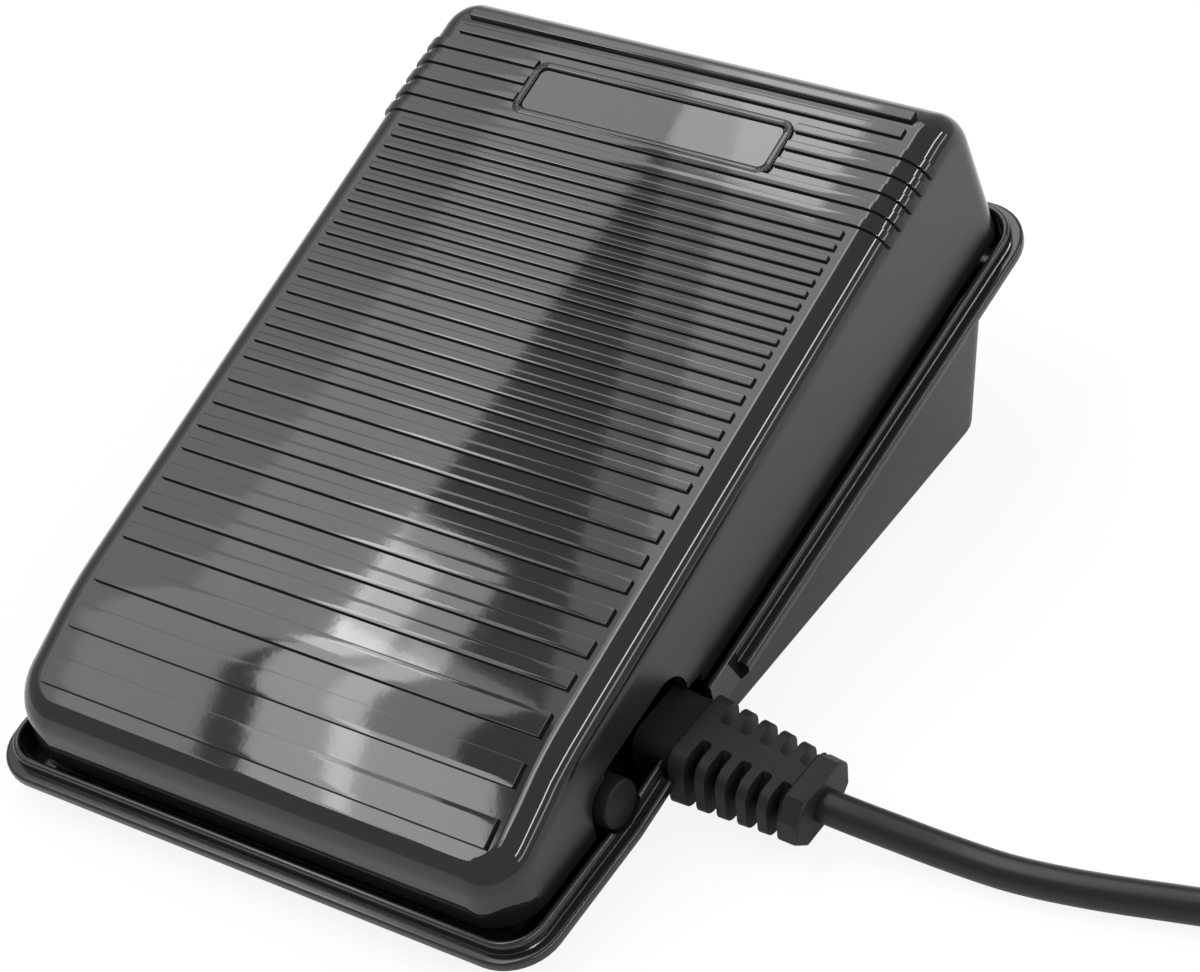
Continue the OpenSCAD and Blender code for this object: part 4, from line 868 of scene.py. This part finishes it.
# Two colours, roughness and its spread, grain per metre and its depth, satin of the side walls
# and shine, of which the last two may be left out.
plastics = {
    "black_plastic": (grey(0.006), grey(0.010), 0.035, 0.02, 900, 0.000002, 0.25),
    "rim_plastic": (grey(0.006), grey(0.011), 0.12, 0.06, 900, 0.000006),
    "tub_plastic": (grey(0.006), grey(0.010), 0.35, 0.1, 900, 0.00002, 0, 0.25),
    "plate_black": (grey(0.010), grey(0.016), 0.03, 0.02, 700, 0.000002),
    "pin_plastic": (grey(0.004), grey(0.007), 0.5, 0.1, 900, 0.00002, 0, 0.2),
    "relief_rubber": (grey(0.006), grey(0.010), 0.5, 0.12, 1500, 0.00003, 0, 0.25),
    "cord_black": (grey(0.006), grey(0.010), 0.33, 0.10, 1200, 0.00002, 0, 0.3),
    "foot_rubber": (grey(0.02), grey(0.035), 0.7, 0.15, 1500, 0.00005),
    "tie_black": (grey(0.012), grey(0.02), 0.4, 0.1, 1000, 0.00002),
    "inner_plastic": (grey(0.02), grey(0.035), 0.4, 0.1, 900, 0.00003),
    "track_carbon": (grey(0.015), grey(0.03), 0.6, 0.2, 2500, 0.00003),
    "slider_white": (grey(0.68, cream), grey(0.78, cream), 0.35, 0.1, 900, 0.00002),
    "capacitor_yellow": ((0.62, 0.42, 0.06, 1), (0.72, 0.50, 0.09, 1), 0.3, 0.1, 800, 0.00003),
    "capacitor_blue": ((0.02, 0.04, 0.12, 1), (0.03, 0.06, 0.17, 1), 0.28, 0.1, 800, 0.00002),
    "terminal_green": ((0.03, 0.12, 0.05, 1), (0.04, 0.17, 0.07, 1), 0.38, 0.1, 900, 0.00002),
    "lead_blue": ((0.01, 0.06, 0.32, 1), (0.02, 0.08, 0.4, 1), 0.4, 0.1, 1200, 0.00002),
}
finishes = {name: plastic(name, *recipe) for name, recipe in plastics.items()}
print(len(finishes), "plastics and rubbers")

# %% [markdown]
# ## Metals and boards
# Metal takes its colour from its reflection, so only its roughness and a fine brushed bump
# vary. The board has a weave, the choke shows its windings and the resistors their rings.

# %% Metals and boards


def metal(name, colour, rough, stretch=(1, 1, 1)):
    """Metal of one colour, a little worn and brushed along the stretch."""

    def make(w):
        brush = w.noise(700, 4, stretch)
        tone = w.noise(60, 2)
        worn = tuple(0.85 * c for c in colour[:3]) + (1,)
        return {"Base_Color": w.mix(tone, colour, worn),
                "Roughness": rough + (brush - 0.5) * 0.16,
                "Normal": w.bump(brush, 0.4, 0.00002)}

    return finish(name, make, Metallic=1.0)


def banded(name, dark, light, scale, direction, rough):
    """Bands across an object, such as windings or rings."""

    def make(w):
        bands = w.node("ShaderNodeTexWave", {"bands_direction": direction},
                       {"Vector": w.place(), "Scale": scale}, output="Fac")
        return {"Base_Color": w.mix(bands, dark, light),
                "Roughness": rough + (w.noise(500) - 0.5) * 0.12,
                "Normal": w.bump(bands, 0.6, 0.0001)}

    return finish(name, make)


def laminate(w):
    """The weave of a circuit board."""
    weave = (w.noise(900, 1, (6, 1, 1)) + w.noise(900, 1, (1, 6, 1))) / 2
    return {"Base_Color": w.mix(weave, (0.10, 0.085, 0.02, 1), (0.16, 0.13, 0.04, 1)),
            "Roughness": 0.35 + weave * 0.2,
            "Normal": w.bump(weave, 0.4, 0.00004)}


finishes.update({
    "screw_steel": metal("screw_steel", (0.60, 0.60, 0.61, 1), 0.32),
    "sink_aluminium": metal("sink_aluminium", (0.80, 0.80, 0.81, 1), 0.38, (1, 1, 0.05)),
    "contact_brass": metal("contact_brass", (0.80, 0.60, 0.28, 1), 0.28),
    "board_laminate": finish("board_laminate", laminate),
    "choke_winding": banded("choke_winding", (0.22, 0.06, 0.01, 1), (0.55, 0.22, 0.06, 1), 260,
                            "DIAGONAL", 0.3),
    "resistor_tan": banded("resistor_tan", (0.45, 0.32, 0.18, 1), (0.62, 0.48, 0.3, 1), 120,
                           "X", 0.42),
})
print(len(finishes), "finishes")

# %% [markdown]
# ## Dressing
# Every CAD node that still shows and every new piece gets its finish here, in one table.

# %% Dressing
node_finish = {
    "rubber_feet": "foot_rubber", "cord_clamp": "inner_plastic", "clamp_screws": "screw_steel",
    "circuit_board": "board_laminate", "board_screws": "screw_steel",
    "control_housing": "inner_plastic", "resistance_track": "track_carbon",
    "heat_sink": "sink_aluminium", "triac": "inner_plastic", "triac_screw": "screw_steel",
    "suppressor_capacitor": "capacitor_yellow", "suppressor_choke": "choke_winding",
    "timing_capacitor": "capacitor_blue", "trimmer": "capacitor_blue", "resistors": "resistor_tan",
    "terminal_block": "terminal_green", "terminal_screws": "screw_steel", "core_leads": "lead_blue",
    "pusher_pad": "foot_rubber", "slider": "slider_white", "wiper": "contact_brass",
    "coil_tie": "tie_black", "plug_body": "cord_black", "plug_pins": "contact_brass",
}
piece_finish = {
    "treadle_shell": "black_plastic", "tread_ribs": "black_plastic",
    "wrapped_ribs": "black_plastic", "plate_frame": "black_plastic",
    "plain_plate": "plate_black", "base_rim": "rim_plastic", "base_wedge": "tub_plastic",
    "hinge_pin_heads": "pin_plastic", "strain_relief_sleeve": "relief_rubber",
    "strain_relief_collar": "relief_rubber", "power_cord": "cord_black", "cord_stub": "cord_black",
    "return_spring_left": "screw_steel", "return_spring_right": "screw_steel",
    "slider_lift_spring": "screw_steel",
}
for name, use in {**node_finish, **piece_finish}.items():
    shown = bpy.data.objects[name]
    shown.data.materials.clear()
    shown.data.materials.append(finishes[use])
print(len(node_finish) + len(piece_finish), "pieces dressed")

# %% [markdown]
# ## Floor and light
# The photo shows the pedal on plain white. A large white floor gives that and keeps a soft
# shadow. The camera sees most of the floor's white as its own light, so that it stays white
# out to the edges. The plastic is so dark that only reflections show its shape, so the lights
# are placed by what the deck mirrors: wide soft boxes overhead on the left and right with a
# dark gap between them, small bright windows for the streak over the nose and the patch on
# the plate, and two strips on the right that draw lines along the rounded edge.

# %% Floor
floor_glow, mirror_glow = 0.88, 0.25
bm = bmesh.new()
bmesh.ops.create_grid(bm, x_segments=1, y_segments=1, size=3.0)
floor = piece("floor", bm, Matrix.Translation((0, 0, -0.0002)), None)
paper = bpy.data.materials.new("paper")
paper.use_nodes = True
w = Wire(paper.node_tree)
seen = w.node("ShaderNodeLightPath", output="Is Camera Ray")
mirrored = w.node("ShaderNodeLightPath", output="Is Glossy Ray")
tone = w.mix(w.noise(4), (0.80, 0.80, 0.80, 1), (0.84, 0.84, 0.84, 1))
matt = w.node("ShaderNodeBsdfDiffuse", {}, {"Color": tone})
glow = w.node("ShaderNodeEmission", {}, {"Color": (1, 1, 1, 1), "Strength": 1.0})
own_light = seen * floor_glow + mirrored * mirror_glow
blended = w.node("ShaderNodeMixShader", {}, {"Fac": own_light, 1: matt, 2: glow})
surface = paper.node_tree.nodes["Material Output"].inputs["Surface"]
paper.node_tree.links.new(blended.socket, surface)
floor.data.materials.append(paper)

# %% Light
room_glow = 0.6
world = bpy.data.worlds.new("room")
bpy.context.scene.world = world
world.use_nodes = True
w = Wire(world.node_tree)
seen = w.node("ShaderNodeLightPath", output="Is Camera Ray")
sky = world.node_tree.nodes["Background"].inputs
sky["Color"].default_value = (1, 1, 1, 1)
world.node_tree.links.new((seen * (1 - room_glow) + room_glow).socket, sky["Strength"])


def soft_box(name, at, facing, turn, width, height, glow):
    """A rectangular light of an even glow, turned about the vertical, hidden from the camera."""
    lamp = bpy.data.lights.new(name, "AREA")
    lamp.shape, lamp.size, lamp.size_y = "RECTANGLE", width, height
    lamp.energy = glow * math.pi * width * height
    made = bpy.data.objects.new(name, lamp)
    bpy.context.scene.collection.objects.link(made)
    toward = Vector(facing).to_track_quat("-Z", "Y").to_matrix().to_4x4()
    about = Matrix.Rotation(math.radians(turn), 4, "Z")
    made.matrix_world = Matrix.Translation(at) @ about @ toward
    made.visible_camera = False


down = (0, 0, -1)
# Place, way it faces, turn, width, height and glow.
boxes = {
    "left_box": ((-0.878, 0.204, 0.9), down, -12, 0.6, 1.5, 0.7),
    "left_box_inner": ((-0.664, 0.160, 0.899), down, -12, 0.16, 1.5, 1.1),
    "left_box_edge": ((-0.625, 0.151, 0.898), down, -12, 0.08, 1.5, 1.2),
    "low_window": ((-0.626, -0.285, 0.897), down, -8, 0.06, 0.67, 5.5),
    "low_window_edge": ((-0.598, 0.03, 0.896), down, -12, 0.03, 0.12, 5),
    "low_window_top": ((-0.574, 0.065, 0.895), down, -12, 0.058, 0.07, 4),
    "low_window_fade": ((-0.560, -0.14, 0.894), down, -8, 0.07, 0.38, 2.5),
    "nose_window": ((-0.575, -0.475, 0.893), down, 0, 0.09, 0.29, 5.5),
    "right_box": ((-0.375, 0.181, 0.9), down, 12, 0.30, 1.2, 1.2),
    "right_box_inner": ((-0.345, 0.187, 0.899), down, 12, 0.30, 1.2, 1.6),
    "top_window": ((-0.507, 0.31, 0.898), down, -8, 0.085, 0.07, 4.5),
    "edge_glow": ((-0.20, 0.12, 0.897), down, 0, 0.12, 1.2, 4),
    "edge_strip_high": ((0.76, 0.24, 0.62), (-0.76, 0, -0.59), 0, 1.6, 0.06, 16),
    "edge_strip_low": ((0.89, 0.32, 0.33), (-0.89, 0, -0.30), 0, 1.6, 0.08, 5),
}
for name, shape in boxes.items():
    soft_box(name, *shape)
bpy.context.scene.view_settings.view_transform = "Standard"
print("floor and light set")
